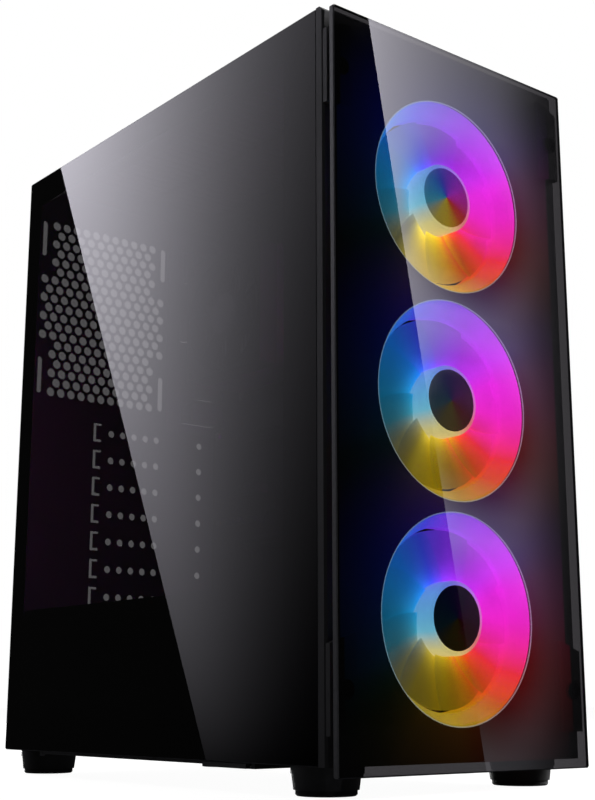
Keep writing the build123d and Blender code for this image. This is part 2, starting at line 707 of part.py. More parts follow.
with BuildPart() as rear_ports:
    for z, height, width in port_rows:
        block((board_face_x - width, board_face_x), (body_rear_y - port_depth, body_rear_y - 0.5),
              (z - height / 2, z + height / 2))
        block((board_face_x - width + 2.5, board_face_x - 2.5), (body_rear_y - 10.0, body_rear_y - 0.5),
              (z - height / 2 + 2.5, z + height / 2 - 2.5), mode=Mode.SUBTRACT)
save(rear_ports, "rear_ports")

with BuildPart() as motherboard:
    block((board_face_x, board_back_x), (board_front_y, board_rear_y), (board_bottom, board_top))
    for y, z in standoff_spots:
        bore(facing_left(board_back_x, y, z), screw_hole_radius + 0.2, board_thickness)
save(motherboard, "motherboard")

with BuildPart() as board_standoffs:
    for y, z in standoff_spots:
        post(facing_left(tray_x, y, z), 3.0, standoff_height)
        post(facing_left(tray_x + 3.0, y, z), screw_hole_radius - 0.05, 3.0)
        bore(facing_left(board_back_x + 4.0, y, z), screw_radius + 0.05, 4.0)
save(board_standoffs, "board_standoffs")

with BuildPart() as chassis_screws:
    for x, z in [(slot_screw_x, height) for height in slot_heights] + psu_screw_spots:
        post(facing_rear(x, body_rear_y - rear_screw_length, z), screw_radius, rear_screw_length)
        post(facing_rear(x, body_rear_y, z), screw_head_radius, screw_head_height)
    for y, z in standoff_spots:
        post(facing_left(board_back_x + board_screw_grip, y, z), screw_radius,
             board_screw_grip + board_thickness)
        post(facing_left(board_face_x, y, z), screw_head_radius, screw_head_height)
save(chassis_screws, "chassis_screws")

memory_y = board_front_y + 46.0
memory_step = 9.5
memory_z = (board_top - 152.0, board_top - 16.0)
with BuildPart() as memory_slots:
    for index in range(4):
        y = memory_y + index * memory_step
        block((board_face_x - 6.0, board_face_x), (y - 3.2, y + 3.2), memory_z)
        block((board_face_x - 6.0, board_face_x - 2.0), (y - 0.8, y + 0.8),
              (memory_z[0] + 3.0, memory_z[1] - 3.0), mode=Mode.SUBTRACT)
save(memory_slots, "memory_slots")

with BuildPart() as memory_modules:
    for index in (1, 3):
        y = memory_y + index * memory_step
        block((board_face_x - 34.0, board_face_x - 2.0), (y - 0.6, y + 0.6),
              (memory_z[0] + 3.2, memory_z[1] - 3.2))
        block((board_face_x - 36.0, board_face_x - 8.0), (y - 2.6, y + 2.6),
              (memory_z[0] + 4.0, memory_z[1] - 4.0))
save(memory_modules, "memory_modules")

with BuildPart() as expansion_slots:
    for index, length in ((0, 89.0), (2, 25.0), (4, 89.0), (6, 25.0)):
        z = slot_heights[index]
        block((board_face_x - 11.0, board_face_x), (board_rear_y - 46.0 - length, board_rear_y - 46.0),
              (z - 3.7, z + 3.7))
        block((board_face_x - 11.0, board_face_x - 3.0),
              (board_rear_y - 44.0 - length, board_rear_y - 48.0), (z - 1.0, z + 1.0), mode=Mode.SUBTRACT)
save(expansion_slots, "expansion_slots")

with BuildPart() as power_sockets:
    block((board_face_x - 13.0, board_face_x), (board_front_y + 2.0, board_front_y + 12.0),
          (board_top - 150.0, board_top - 98.0))
    block((board_face_x - 13.0, board_face_x), (board_rear_y - 60.0, board_rear_y - 42.0),
          (board_top - 13.0, board_top - 3.0))
save(power_sockets, "power_sockets")

cooler_y = board_rear_y - 95.0
cooler_z = board_top - 95.0
cooler_side = 90.0
cooler_fin_height = 34.0
cooler_base = 12.0
cooler_fan_depth = 15.0
with BuildPart() as cpu_heatsink:
    block((board_face_x - cooler_base, board_face_x), (cooler_y - 20.0, cooler_y + 20.0),
          (cooler_z - 20.0, cooler_z + 20.0))
    block((board_face_x - cooler_base - 3.0, board_face_x - cooler_base),
          (cooler_y - cooler_side / 2, cooler_y + cooler_side / 2),
          (cooler_z - cooler_side / 2, cooler_z + cooler_side / 2))
    fin_count = 23
    fin_step = (cooler_side - 1.2) / (fin_count - 1)
    for index in range(fin_count):
        y = cooler_y - cooler_side / 2 + index * fin_step
        block((board_face_x - cooler_base - cooler_fin_height, board_face_x - cooler_base - 3.0),
              (y, y + 1.2), (cooler_z - cooler_side / 2, cooler_z + cooler_side / 2))
save(cpu_heatsink, "cpu_heatsink")

cooler_screw_spots = [(sx * 40.0, sz * 40.0) for sx in (-1, 1) for sz in (-1, 1)]
cooler_fan_x = board_face_x - cooler_base - cooler_fin_height - cooler_fan_depth
cooler_plane = Plane(origin=(cooler_fan_x, cooler_y, cooler_z), x_dir=(0, 1, 0), z_dir=(1, 0, 0))
cooler_hub_radius = 15.0
save(fan_frame(cooler_plane, cooler_side, 42.5, cooler_hub_radius, cooler_fan_depth,
               cooler_screw_spots), "cpu_fan_frame")
save(fan_rotor(cooler_plane, 40.0, cooler_hub_radius, cooler_fan_depth, 7, shaft_radius),
     "cpu_fan_rotor")

with BuildPart() as fan_motors:
    for height in fan_heights.values():
        fan_motor(facing_rear(0, fan_front_y, height), fan_hub_radius, fan_depth, shaft_radius)
    fan_motor(cooler_plane, cooler_hub_radius, cooler_fan_depth, shaft_radius)
save(fan_motors, "fan_motors")

with BuildPart() as board_heatsinks:
    block((board_face_x - 14.0, board_face_x), (board_rear_y - 36.0, board_rear_y - 16.0),
          (board_top - 130.0, board_top - 40.0))
    block((board_face_x - 9.0, board_face_x), (board_front_y + 20.0, board_front_y + 64.0),
          (board_bottom + 36.0, board_bottom + 76.0))
    for index in range(7):
        z = board_top - 124.0 + index * 12.0
        block((board_face_x - 14.0, board_face_x - 5.0), (board_rear_y - 36.0, board_rear_y - 16.0),
              (z, z + 4.0), mode=Mode.SUBTRACT)
save(board_heatsinks, "board_heatsinks")

# ---------------------------------------------------------------- power supply
psu_wall = 1.0
inlet_width = 48.0
inlet_height = 27.0
inlet_x = 40.0
inlet_z = psu_middle_z - 16.0
switch_x = 0.0
switch_width = 20.0
switch_hole_height = 14.0
shell_seam = 0.1             # between the case's two bent sheets
with BuildPart() as psu_case:
    lower_width = psu_width / 2 - psu_wall - shell_seam
    lower_top = psu_top_z - psu_wall - shell_seam
    block((-lower_width, lower_width), (psu_front_y, inner_rear_y), (psu_bottom_z, lower_top))
    block((-lower_width, lower_width), (psu_front_y + psu_wall, inner_rear_y - psu_wall),
          (psu_bottom_z + psu_wall, lower_top), mode=Mode.SUBTRACT)
    bore(facing_up(0, psu_middle_y, psu_bottom_z), psu_fan_radius, psu_wall)
    for x, z in psu_screw_spots:
        bore(facing_rear(x, inner_rear_y - psu_wall, z), screw_radius + 0.05, psu_wall)
    block((inlet_x - 14.0, inlet_x + 14.0), (inner_rear_y - psu_wall, inner_rear_y),
          (inlet_z - 10.0, inlet_z + 10.0), mode=Mode.SUBTRACT)
    block((switch_x - switch_width / 2, switch_x + switch_width / 2),
          (inner_rear_y - psu_wall, inner_rear_y),
          (inlet_z - switch_hole_height / 2, inlet_z + switch_hole_height / 2), mode=Mode.SUBTRACT)
    with BuildSketch(facing_rear(0, inner_rear_y - psu_wall, psu_middle_z + 19.0)):
        with Locations(hex_points(112.0, 26.0, 7.5)):
            Circle(2.9)
    extrude(amount=psu_wall, mode=Mode.SUBTRACT)
    block((-40.0, 40.0), (psu_front_y, psu_front_y + psu_wall), (psu_middle_z - 6.0, psu_middle_z + 24.0),
          mode=Mode.SUBTRACT)
    block((-psu_width / 2, psu_width / 2), (psu_front_y, inner_rear_y), (psu_top_z - psu_wall, psu_top_z))
    for side in (-1, 1):
        wall = side * psu_width / 2
        block((min(wall, wall - side * psu_wall), max(wall, wall - side * psu_wall)),
              (psu_front_y, inner_rear_y), (psu_bottom_z, psu_top_z))
save(psu_case, "psu_case")

guard_thickness = 1.5
psu_rotor_gap = 2.0
psu_rotor_depth = 24.0
psu_shaft_radius = 2.5
with BuildPart() as psu_fan_guard:
    guard_z = psu_bottom_z + psu_wall
    with BuildSketch(facing_up(0, psu_middle_y, guard_z)):
        RectangleRounded(fan_side + 4.0, fan_side + 4.0, 4.0)
        Circle(psu_fan_radius - 2.0, mode=Mode.SUBTRACT)
        for radius in (18.0, 30.0, 42.0, 52.0):
            Circle(radius)
            Circle(radius - 2.0, mode=Mode.SUBTRACT)
        Circle(12.0)
        with PolarLocations((psu_fan_radius + 8.0) / 2, 4, start_angle=45):
            Rectangle(psu_fan_radius - 8.0, 3.0)
    extrude(amount=guard_thickness)
    post(facing_up(0, psu_middle_y, guard_z + guard_thickness), psu_shaft_radius, psu_rotor_depth)
save(psu_fan_guard, "psu_fan_guard")

with BuildPart() as psu_fan_rotor:
    rotor_plane = facing_up(0, psu_middle_y, guard_z + guard_thickness + psu_rotor_gap)
    post(rotor_plane, 20.0, psu_rotor_depth)
    bore(rotor_plane, psu_shaft_radius + 0.05, psu_rotor_depth)
    for index in range(7):
        turn = Rot(0, 0, 360 / 7 * index)
        root = Plane(rotor_plane.location * turn * Pos(19.0, 0, psu_rotor_depth / 2)
                     * Rot(0, 90, 0) * Rot(0, 0, 42))
        tip = Plane(rotor_plane.location * turn * Pos(51.0, 0, psu_rotor_depth / 2)
                    * Rot(0, 90, 0) * Rot(0, 0, 58))
        with BuildSketch(root):
            Rectangle(psu_rotor_depth * 0.75, 1.8)
        with BuildSketch(tip):
            Rectangle(psu_rotor_depth * 0.95, 1.4)
        loft()
save(psu_fan_rotor, "psu_fan_rotor")

circuit_bottom = guard_z + guard_thickness + psu_rotor_gap + psu_rotor_depth + 3.0
with BuildPart() as psu_circuit:
    block((-psu_width / 2 + psu_wall, psu_width / 2 - psu_wall),
          (psu_front_y + psu_wall, inner_rear_y - 26.0),
          (psu_top_z - psu_wall - 4.0, psu_top_z - psu_wall - 2.0))
    for x, y, width, depth in ((-40.0, 30.0, 34.0, 30.0), (0.0, 26.0, 30.0, 26.0),
                               (42.0, 24.0, 22.0, 30.0), (-30.0, -18.0, 60.0, 4.0),
                               (40.0, -20.0, 40.0, 4.0)):
        block((x - width / 2, x + width / 2), (psu_middle_y - 20.0 + y - depth / 2,
                                               psu_middle_y - 20.0 + y + depth / 2),
              (circuit_bottom, psu_top_z - psu_wall - 4.0))
save(psu_circuit, "psu_circuit")

with BuildPart() as psu_inlet:
    block((inlet_x - inlet_width / 2, inlet_x + inlet_width / 2), (inner_rear_y, inner_rear_y + 2.5),
          (inlet_z - inlet_height / 2, inlet_z + inlet_height / 2))
    block((inlet_x - 13.8, inlet_x + 13.8), (inner_rear_y - 20.0, inner_rear_y),
          (inlet_z - 9.8, inlet_z + 9.8))
    block((inlet_x - 12.2, inlet_x + 12.2), (inner_rear_y - 16.0, inner_rear_y + 2.5),
          (inlet_z - 8.2, inlet_z + 8.2), mode=Mode.SUBTRACT)
    for x, z in ((-7.0, -1.5), (0.0, 2.5), (7.0, -1.5)):
        block((inlet_x + x - 1.0, inlet_x + x + 1.0), (inner_rear_y - 16.0, inner_rear_y - 1.0),
              (inlet_z + z - 2.0, inlet_z + z + 2.0))
save(psu_inlet, "psu_inlet")

rocker_axis_y = inner_rear_y - 3.0
rocker_radius = 8.0
rocker_half_width = 4.6
rocker_tilt = 8.0            # degrees either side of level
with BuildPart() as switch_bezel:
    block((switch_x - switch_width / 2 - 2.0, switch_x + switch_width / 2 + 2.0),
          (inner_rear_y, inner_rear_y + 1.5), (inlet_z - 9.0, inlet_z + 9.0))
    block((switch_x - switch_width / 2 + 0.2, switch_x + switch_width / 2 - 0.2),
          (inner_rear_y - 13.0, inner_rear_y), (inlet_z - switch_hole_height / 2 + 0.2,
                                                inlet_z + switch_hole_height / 2 - 0.2))
    block((switch_x - rocker_radius - 0.9, switch_x + rocker_radius + 0.9),
          (inner_rear_y - 12.0, inner_rear_y + 1.5),
          (inlet_z - rocker_half_width - 0.3, inlet_z + rocker_half_width + 0.3), mode=Mode.SUBTRACT)
    bore(facing_up(switch_x, rocker_axis_y, inlet_z - 6.3), 1.25, 12.6)
save(switch_bezel, "switch_bezel")

rocker_plane = Plane(origin=(switch_x, rocker_axis_y, inlet_z - rocker_half_width), z_dir=(0, 0, 1),
                     x_dir=(cos(radians(rocker_tilt)), sin(radians(rocker_tilt)), 0))
with BuildPart() as psu_switch:
    with BuildSketch(rocker_plane):
        with BuildLine():
            Polyline((-7.4, 0.5), (-7.4, 5.6), (0, 4.2), (7.4, 5.6), (7.4, 0.5), (3.0, -4.0), (-3.0, -4.0),
                     (-7.4, 0.5))
        make_face()
    extrude(amount=2 * rocker_half_width)
    post(facing_up(switch_x, rocker_axis_y, inlet_z - 6.1), 1.2, 12.2)
save(psu_switch, "psu_switch")

# ---------------------------------------------------------------- drive cage and drive
cage_wall = 1.0
cage_clearance = 0.3
cage_half = drive_size[0] / 2 + cage_clearance + cage_wall
cage_front_y = inner_front_y + shroud_setback + 4.0
cage_rear_y = cage_front_y + drive_size[1] + 4.0
bay_step = 38.0
cage_top_z = inner_bottom_z + 2 * bay_step + 6.0
cage_x = 14.0
bay_floor = 6.0
with BuildPart() as drive_cage:
    for side in (-1, 1):
        wall = cage_x + side * cage_half
        block((min(wall, wall - side * cage_wall), max(wall, wall - side * cage_wall)),
              (cage_front_y, cage_rear_y), (inner_bottom_z, cage_top_z))
        for bay in range(2):
            ledge = inner_bottom_z + bay_floor + bay * bay_step
            shelf = wall - side * (cage_wall + 5.0)
            block((min(wall, shelf), max(wall, shelf)), (cage_front_y, cage_rear_y), (ledge - 1.0, ledge))
    block((cage_x - cage_half, cage_x + cage_half), (cage_front_y, cage_rear_y),
          (cage_top_z - cage_wall, cage_top_z))
save(drive_cage, "drive_cage")

drive_bottom = inner_bottom_z + bay_floor
with BuildPart() as hard_drive:
    block((cage_x - drive_size[0] / 2, cage_x + drive_size[0] / 2),
          (cage_front_y + 2.0, cage_front_y + 2.0 + drive_size[1]),
          (drive_bottom, drive_bottom + drive_size[2]))
    fillet(hard_drive.edges().filter_by(Axis.Z), 2.0)
save(hard_drive, "hard_drive")
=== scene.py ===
"""Looks of the desktop computer tower: stage, finishes and fine pieces around its packed frame."""
import math

import bmesh
import bpy
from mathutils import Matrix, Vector


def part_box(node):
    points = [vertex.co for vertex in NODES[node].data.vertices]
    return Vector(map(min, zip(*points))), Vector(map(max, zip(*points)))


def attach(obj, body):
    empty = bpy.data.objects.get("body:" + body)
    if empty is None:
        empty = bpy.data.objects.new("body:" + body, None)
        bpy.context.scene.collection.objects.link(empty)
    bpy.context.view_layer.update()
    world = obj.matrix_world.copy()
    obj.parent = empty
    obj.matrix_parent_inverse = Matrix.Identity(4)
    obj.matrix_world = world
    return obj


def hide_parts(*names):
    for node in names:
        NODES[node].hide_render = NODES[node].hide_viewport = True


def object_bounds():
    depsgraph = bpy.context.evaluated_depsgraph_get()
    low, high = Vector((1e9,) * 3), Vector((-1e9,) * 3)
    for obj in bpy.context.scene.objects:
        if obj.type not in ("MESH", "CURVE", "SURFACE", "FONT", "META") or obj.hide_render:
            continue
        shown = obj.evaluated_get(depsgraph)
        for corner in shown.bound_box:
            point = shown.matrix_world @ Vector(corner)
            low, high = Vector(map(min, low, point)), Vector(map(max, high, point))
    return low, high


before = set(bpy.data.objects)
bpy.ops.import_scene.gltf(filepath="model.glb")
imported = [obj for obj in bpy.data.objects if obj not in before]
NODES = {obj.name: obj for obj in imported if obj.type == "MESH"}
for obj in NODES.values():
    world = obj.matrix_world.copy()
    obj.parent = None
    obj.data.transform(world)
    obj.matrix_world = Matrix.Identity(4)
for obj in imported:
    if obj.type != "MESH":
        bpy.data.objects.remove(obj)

bl_info = {
    "name": "Desktop Computer Tower",
    "version": (1, 0, 0),
    "blender": (4, 5, 0),
    "location": "View3D > Sidebar > Tower",
    "description": "Builds the finishes and fine pieces of a desktop computer tower on its packed frame",
    "category": "Object",
}

CAD_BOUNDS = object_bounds()
FAN_NAMES = ("bottom", "middle", "top")
BEZEL_FACE = 0.002  # thickness of the bezel's face, in front of the fans
SHARP_ANGLE = math.radians(35)  # edges that turn more than this stay sharp on lit and glass pieces
COPY_SHARP_ANGLE = math.radians(32)  # the same on screws, filter wires and board parts
FACING_BOARD = (-1.0, 0.0, 0.0)  # the board's parts stand towards the side glass
BACKDROP_WHITE, BACKDROP_IN_GLOSS = 0.985, 0.015  # seen straight on, and added everywhere
FLOOR_WHITE, FLOOR_HALF, FLOOR_DROP = 0.97, 9.0, 0.0002  # light, half width, depth under the feet
CARD_STEPS = 48  # squares along each side of a light card
CARD_TINT = (0.98, 0.95, 1.06, 1)
CARD_HEIGHTS = (0.005, 0.62)  # lowest and highest point of a card's image on the glass

# Finishes from the powder coat group: colour, worn colour, grain, roughness, bump, metallic.
FINISHES = {
    "glossy_plastic": ((0.01, 0.01, 0.012), (0.02, 0.02, 0.02), 0.002, 0.18, 0.00001, 0.0),
    "zinc_plate": ((0.55, 0.56, 0.58), (0.35, 0.36, 0.38), 0.0008, 0.3, 0.00001, 1.0),
    "stamped_shield": ((0.16, 0.165, 0.175), (0.11, 0.115, 0.12), 0.0008, 0.5, 0.00001, 1.0),
    "port_shells": ((0.3, 0.305, 0.315), (0.2, 0.205, 0.21), 0.0008, 0.38, 0.00001, 1.0),
    "foot_rubber": ((0.012, 0.012, 0.012), (0.03, 0.03, 0.03), 0.0005, 0.75, 0.00008, 0.0),
    "solder_mask": ((0.008, 0.01, 0.009), (0.02, 0.03, 0.02), 0.0015, 0.3, 0.00002, 0.0),
    "bare_aluminium": ((0.42, 0.43, 0.45), (0.3, 0.3, 0.31), 0.0007, 0.35, 0.00002, 1.0),
    "turned_brass": ((0.6, 0.42, 0.16), (0.4, 0.28, 0.1), 0.0008, 0.3, 0.00001, 1.0),
    "wound_copper": ((0.5, 0.2, 0.08), (0.35, 0.13, 0.05), 0.0005, 0.35, 0.0001, 1.0),
    "anodised_cover": ((0.03, 0.03, 0.033), (0.06, 0.06, 0.065), 0.0006, 0.32, 0.00002, 1.0),
    "zinc_screw": ((0.6, 0.61, 0.63), (0.4, 0.41, 0.43), 0.0008, 0.28, 0.000002, 1.0),
    "blackened_screw": ((0.02, 0.02, 0.022), (0.06, 0.06, 0.06), 0.0006, 0.32, 0.000003, 0.6),
    # fan_screw is the blackened screw's finish; the painted spill of the fans' light is added to it later
    "fan_screw": ((0.02, 0.02, 0.022), (0.06, 0.06, 0.06), 0.0006, 0.32, 0.000003, 0.6),
    # painted light: a lighter copy for the front glass's left edge, a painted highlight, and a near-black
    # copy, painted shade, for every other glass edge
    "painted_highlight_glass_edge": ((0.07, 0.07, 0.078), (0.13, 0.13, 0.145), 0.0005, 0.3, 0.000004, 0.0),
    "shaded_glass_edge": ((0.006, 0.006, 0.007), (0.012, 0.012, 0.014), 0.0005, 0.35, 0.000004, 0.0),
    "filter_wire": ((0.02, 0.02, 0.021), (0.05, 0.05, 0.05), 0.0005, 0.45, 0.000002, 0.0),
    "capacitor_can": ((0.35, 0.35, 0.37), (0.2, 0.2, 0.21), 0.001, 0.3, 0.000003, 1.0),
    "chip_case": ((0.018, 0.018, 0.02), (0.04, 0.04, 0.042), 0.0005, 0.45, 0.000004, 0.0),
    "coil_case": ((0.06, 0.06, 0.065), (0.1, 0.1, 0.1), 0.0008, 0.5, 0.000006, 0.0),
    "gilt_pin": ((0.75, 0.55, 0.22), (0.5, 0.36, 0.15), 0.0008, 0.25, 0.000002, 1.0),
}

# Which nodes of the steel operator wear which of those finishes.
HARDWARE = {
    "glossy_plastic": ("power_button", "reset_button", "cpu_fan_rotor", "psu_fan_rotor", "psu_switch"),
    "zinc_plate": ("front_glass_studs", "usb_ports", "psu_fan_guard"),
    "stamped_shield": ("io_shield",),
    "port_shells": ("rear_ports",),
    "foot_rubber": ("foot_pads",),
    "solder_mask": ("motherboard", "io_board", "psu_circuit"),
    "bare_aluminium": ("cpu_heatsink", "board_heatsinks", "hard_drive"),
    "turned_brass": ("board_standoffs",),
    "wound_copper": ("fan_motors",),
    "anodised_cover": ("memory_modules",),
}

# Colour of the fans' light by share of a turn from +X towards +Z.
WHEEL_COLOURS = (
    (0.00, (0.86, 0.015, 0.56)), (0.06, (0.82, 0.02, 0.76)), (0.10, (0.66, 0.03, 0.95)),
    (0.17, (0.42, 0.03, 0.95)), (0.25, (0.19, 0.045, 0.90)), (0.31, (0.05, 0.08, 0.90)),
    (0.38, (0.012, 0.22, 0.85)), (0.50, (0.015, 0.40, 0.74)), (0.56, (0.06, 0.50, 0.66)),
    (0.61, (0.45, 0.50, 0.26)), (0.66, (0.75, 0.62, 0.05)), (0.75, (0.86, 0.60, 0.008)),
    (0.80, (0.88, 0.40, 0.005)), (0.86, (0.90, 0.09, 0.008)), (0.91, (0.90, 0.03, 0.04)),
    (0.95, (0.90, 0.02, 0.28)), (1.00, (0.86, 0.015, 0.56)))
# Level of that light by the same share, and the part of the turn that counts as the yellow side.
WHEEL_LEVELS = (
    (0.00, 1.0), (0.08, 0.9), (0.16, 0.65), (0.25, 0.45), (0.36, 0.35), (0.50, 0.18),
    (0.60, 0.12), (0.68, 0.13), (0.78, 0.17), (0.84, 0.35), (0.90, 0.8), (1.00, 1.0))
YELLOW_SIDE = (0.65, 0.86)
PALE_LIGHT = (0.6, 0.85, 0.9, 1)


# ---------------------------------------------------------------- places read from the frame
def middle(node):
    """Centre of a node's box."""
    low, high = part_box(node)
    return (low + high) / 2


def span(node):
    """Size of a node's box."""
    low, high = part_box(node)
    return high - low


# ---------------------------------------------------------------- settings
class GlassSettings(bpy.types.PropertyGroup):
    """Tempered glass of the front and the side."""

    front_tint: bpy.props.FloatVectorProperty(
        name="Front tint", description="Share of light that the front plate lets through, by colour",
        subtype="COLOR", default=(0.040, 0.038, 0.041), min=0, max=1)
    side_tint: bpy.props.FloatVectorProperty(
        name="Side tint", description="Share of light that the side plate lets through, by colour",
        subtype="COLOR", default=(0.082, 0.080, 0.083), min=0, max=1)
    refraction: bpy.props.FloatProperty(
        name="Refraction", description="Index of refraction of the glass", default=1.5, min=1.0, max=2.0)
    edge_bevel: bpy.props.FloatProperty(
        name="Edge bevel", description="Width of the ground edge", default=0.0006, unit="LENGTH")
    corner_radius: bpy.props.FloatProperty(
        name="Corner radius", description="Radius of the plate's corners", default=0.0015, unit="LENGTH")


class FanSettings(bpy.types.PropertyGroup):
    """Lit front fans."""

    blade_count: bpy.props.IntProperty(
        name="Blades", description="Blades on one front fan", default=9, min=3, max=15)
    hub_radius: bpy.props.FloatProperty(
        name="Hub radius", description="Radius of the lit hub", default=0.0203, unit="LENGTH")
    disc_radius: bpy.props.FloatProperty(
        name="Disc radius", description="Radius of the dark disc on the hub", default=0.0178,
        unit="LENGTH")
    glow: bpy.props.FloatProperty(
        name="Glow", description="Light from the ring and the frosted blades", default=26.0, min=0)
    hub_glow: bpy.props.FloatProperty(
        name="Hub glow", description="Light from the hub's side wall", default=20.0, min=0)
    hub_whiteness: bpy.props.FloatProperty(
        name="Hub whiteness", description="How far the hub's colours are washed out", default=0.22,
        min=0, max=1)
    warmth: bpy.props.FloatVectorProperty(
        name="Warmth", description="Least glow of the yellow side of the bottom, middle and top fan",
        default=(0.0, 0.22, 0.46), min=0)
    disc_share: bpy.props.FloatVectorProperty(
        name="Disc share", description="Share of the glow in the hub disc, bottom, middle and top fan",
        default=(0.008, 0.035, 0.27), min=0)
    opening_radius: bpy.props.FloatProperty(
        name="Opening radius", description="Radius of the bezel's opening in front of a fan",
        default=0.058, unit="LENGTH")
    lip_share: bpy.props.FloatProperty(
        name="Lip share", description="Share of the glow in the bead round the opening", default=0.35,
        min=0, max=1)
    # strength of the emission that paints the fans' light on the bezel and the fan screws: painted light
    spill: bpy.props.FloatProperty(
        name="Spill", description="Light that the fans throw on the plastic round them", default=2.8, min=0)


class CoatSettings(bpy.types.PropertyGroup):
    """Painted steel and moulded plastic."""

    steel: bpy.props.FloatVectorProperty(
        name="Steel coat", description="Colour of the powder coat on the steel", subtype="COLOR",
        default=(0.012, 0.012, 0.013), min=0, max=1)
    plastic: bpy.props.FloatVectorProperty(
        name="Plastic", description="Colour of the moulded plastic", subtype="COLOR",
        default=(0.011, 0.011, 0.012), min=0, max=1)
    grain: bpy.props.FloatProperty(
        name="Grain", description="Size of one grain of the powder coat", default=0.0006, unit="LENGTH")
    mesh_pitch: bpy.props.FloatProperty(
        name="Mesh pitch", description="Distance between the wires of a filter", default=0.0016,
        unit="LENGTH")


class StageSettings(bpy.types.PropertyGroup):
    """Camera, light and floor."""

    camera_place: bpy.props.FloatVectorProperty(
        name="Camera place", description="Where the camera stands", subtype="TRANSLATION",
        default=(-0.5277, -0.6863, 0.0464))
    camera_turn: bpy.props.FloatProperty(
        name="Camera turn", description="Heading of the camera from +Y towards +X", subtype="ANGLE",
        default=math.radians(38.84))
    camera_tilt: bpy.props.FloatProperty(
        name="Camera tilt", description="How far the camera looks up", subtype="ANGLE",
        default=math.radians(12.777))
    lens: bpy.props.FloatProperty(
        name="Lens", description="Focal length in millimetres", default=59.96, min=1)
    card_distance: bpy.props.FloatProperty(
        name="Card distance", description="Distance of a light card from the glass that mirrors it",
        default=1.4, unit="LENGTH")


SETTINGS = {"tower_glass": GlassSettings, "tower_fans": FanSettings, "tower_coats": CoatSettings,
            "tower_stage": StageSettings}


# ---------------------------------------------------------------- shader node groups
class Wiring:
    """Adds nodes to a tree and links them by name."""

    def __init__(self, tree):
        self.tree = tree

    def node(self, kind, **values):
        made = self.tree.nodes.new(kind)
        for key, value in values.items():
            setattr(made, key, value)
        return made

    def link(self, source, target):
        self.tree.links.new(source, target)

    def math(self, operation, first, second=None, third=None):
        """A Math node fed by sockets or numbers."""
        made = self.node("ShaderNodeMath", operation=operation)
        for socket, value in zip(made.inputs, (first, second, third)):
            if value is None:
                continue
            if isinstance(value, (int, float)):
                socket.default_value = value
            else:
                self.link(value, socket)
        return made.outputs[0]


def multiply(wire, first, second):
    """Multiply two colours, or a colour and a value."""
    mix = wire.node("ShaderNodeMix", data_type="RGBA", blend_type="MULTIPLY")
    mix.inputs["Factor"].default_value = 1.0
    wire.link(first, mix.inputs["A"])
    wire.link(second, mix.inputs["B"])
    return mix.outputs["Result"]


def new_group(name, inputs, outputs):
    """A named shader node group with its sockets: its tree, wiring, input node and output node."""
    tree = bpy.data.node_groups.new(name, "ShaderNodeTree")
    for socket_name, kind, default in inputs:
        socket = tree.interface.new_socket(name=socket_name, in_out="INPUT",
                                           socket_type=f"NodeSocket{kind}")
        socket.default_value = default
    for socket_name, kind in outputs:
        tree.interface.new_socket(name=socket_name, in_out="OUTPUT", socket_type=f"NodeSocket{kind}")
    wire = Wiring(tree)
    return tree, wire, wire.node("NodeGroupInput"), wire.node("NodeGroupOutput")


def add_noise(wire, detail=2.0, scale=5.0):
    """A noise texture on the object's own coordinates."""
    place = wire.node("ShaderNodeTexCoord")
    noise = wire.node("ShaderNodeTexNoise")
    wire.link(place.outputs["Object"], noise.inputs["Vector"])
    noise.inputs["Scale"].default_value = scale
    noise.inputs["Detail"].default_value = detail
    return noise


def powder_coat_group():
    """Fine orange-peel grain with soft colour and gloss changes, for painted steel and plastic."""
    made = bpy.data.node_groups.get("Powder Coat")
    if made:
        return made
    tree, wire, start, end = new_group(
        "Powder Coat",
        (("Coat Color", "Color", (0.012, 0.012, 0.013, 1)), ("Worn Color", "Color", (0.05, 0.05, 0.055, 1)),
         ("Grain Size", "Float", 0.0006), ("Roughness", "Float", 0.5), ("Gloss Change", "Float", 0.12)),
        (("Color", "Color"), ("Roughness", "Float"), ("Height", "Float")))
    fine = add_noise(wire, detail=3.0)
    wire.link(wire.math("DIVIDE", 1.0, start.outputs["Grain Size"]), fine.inputs["Scale"])
    fine.inputs["Roughness"].default_value = 0.6
    cloud = add_noise(wire, detail=4.0, scale=14.0)
    speck = add_noise(wire, scale=420.0)
    speck_share = 0.8
    tone = wire.math("MULTIPLY_ADD", speck.outputs["Fac"], speck_share,
                     wire.math("MULTIPLY", cloud.outputs["Fac"], 1 - speck_share))
    share = wire.node("ShaderNodeMapRange")
    wire.link(tone, share.inputs["Value"])
    for key, value in (("From Min", 0.42), ("From Max", 0.75), ("To Max", 0.35)):
        share.inputs[key].default_value = value
    mix = wire.node("ShaderNodeMix", data_type="RGBA")
    wire.link(share.outputs["Result"], mix.inputs["Factor"])
    wire.link(start.outputs["Coat Color"], mix.inputs["A"])
    wire.link(start.outputs["Worn Color"], mix.inputs["B"])
    wire.link(mix.outputs["Result"], end.inputs["Color"])
    swing = wire.math("MULTIPLY", wire.math("SUBTRACT", cloud.outputs["Fac"], 0.5),
                      start.outputs["Gloss Change"])
    swing = wire.math("MULTIPLY_ADD", swing, 2.0, start.outputs["Roughness"])
    wire.link(swing, end.inputs["Roughness"])
    wire.link(fine.outputs["Fac"], end.inputs["Height"])
    return tree


def fill_ramp(ramp, stops):
    """Set a colour ramp's stops from (position, colour) pairs."""
    ramp.elements[0].position, ramp.elements[0].color = stops[0][0], (*stops[0][1], 1)
    ramp.elements[1].position, ramp.elements[1].color = stops[-1][0], (*stops[-1][1], 1)
    for position, colour in stops[1:-1]:
        ramp.elements.new(position).color = (*colour, 1)


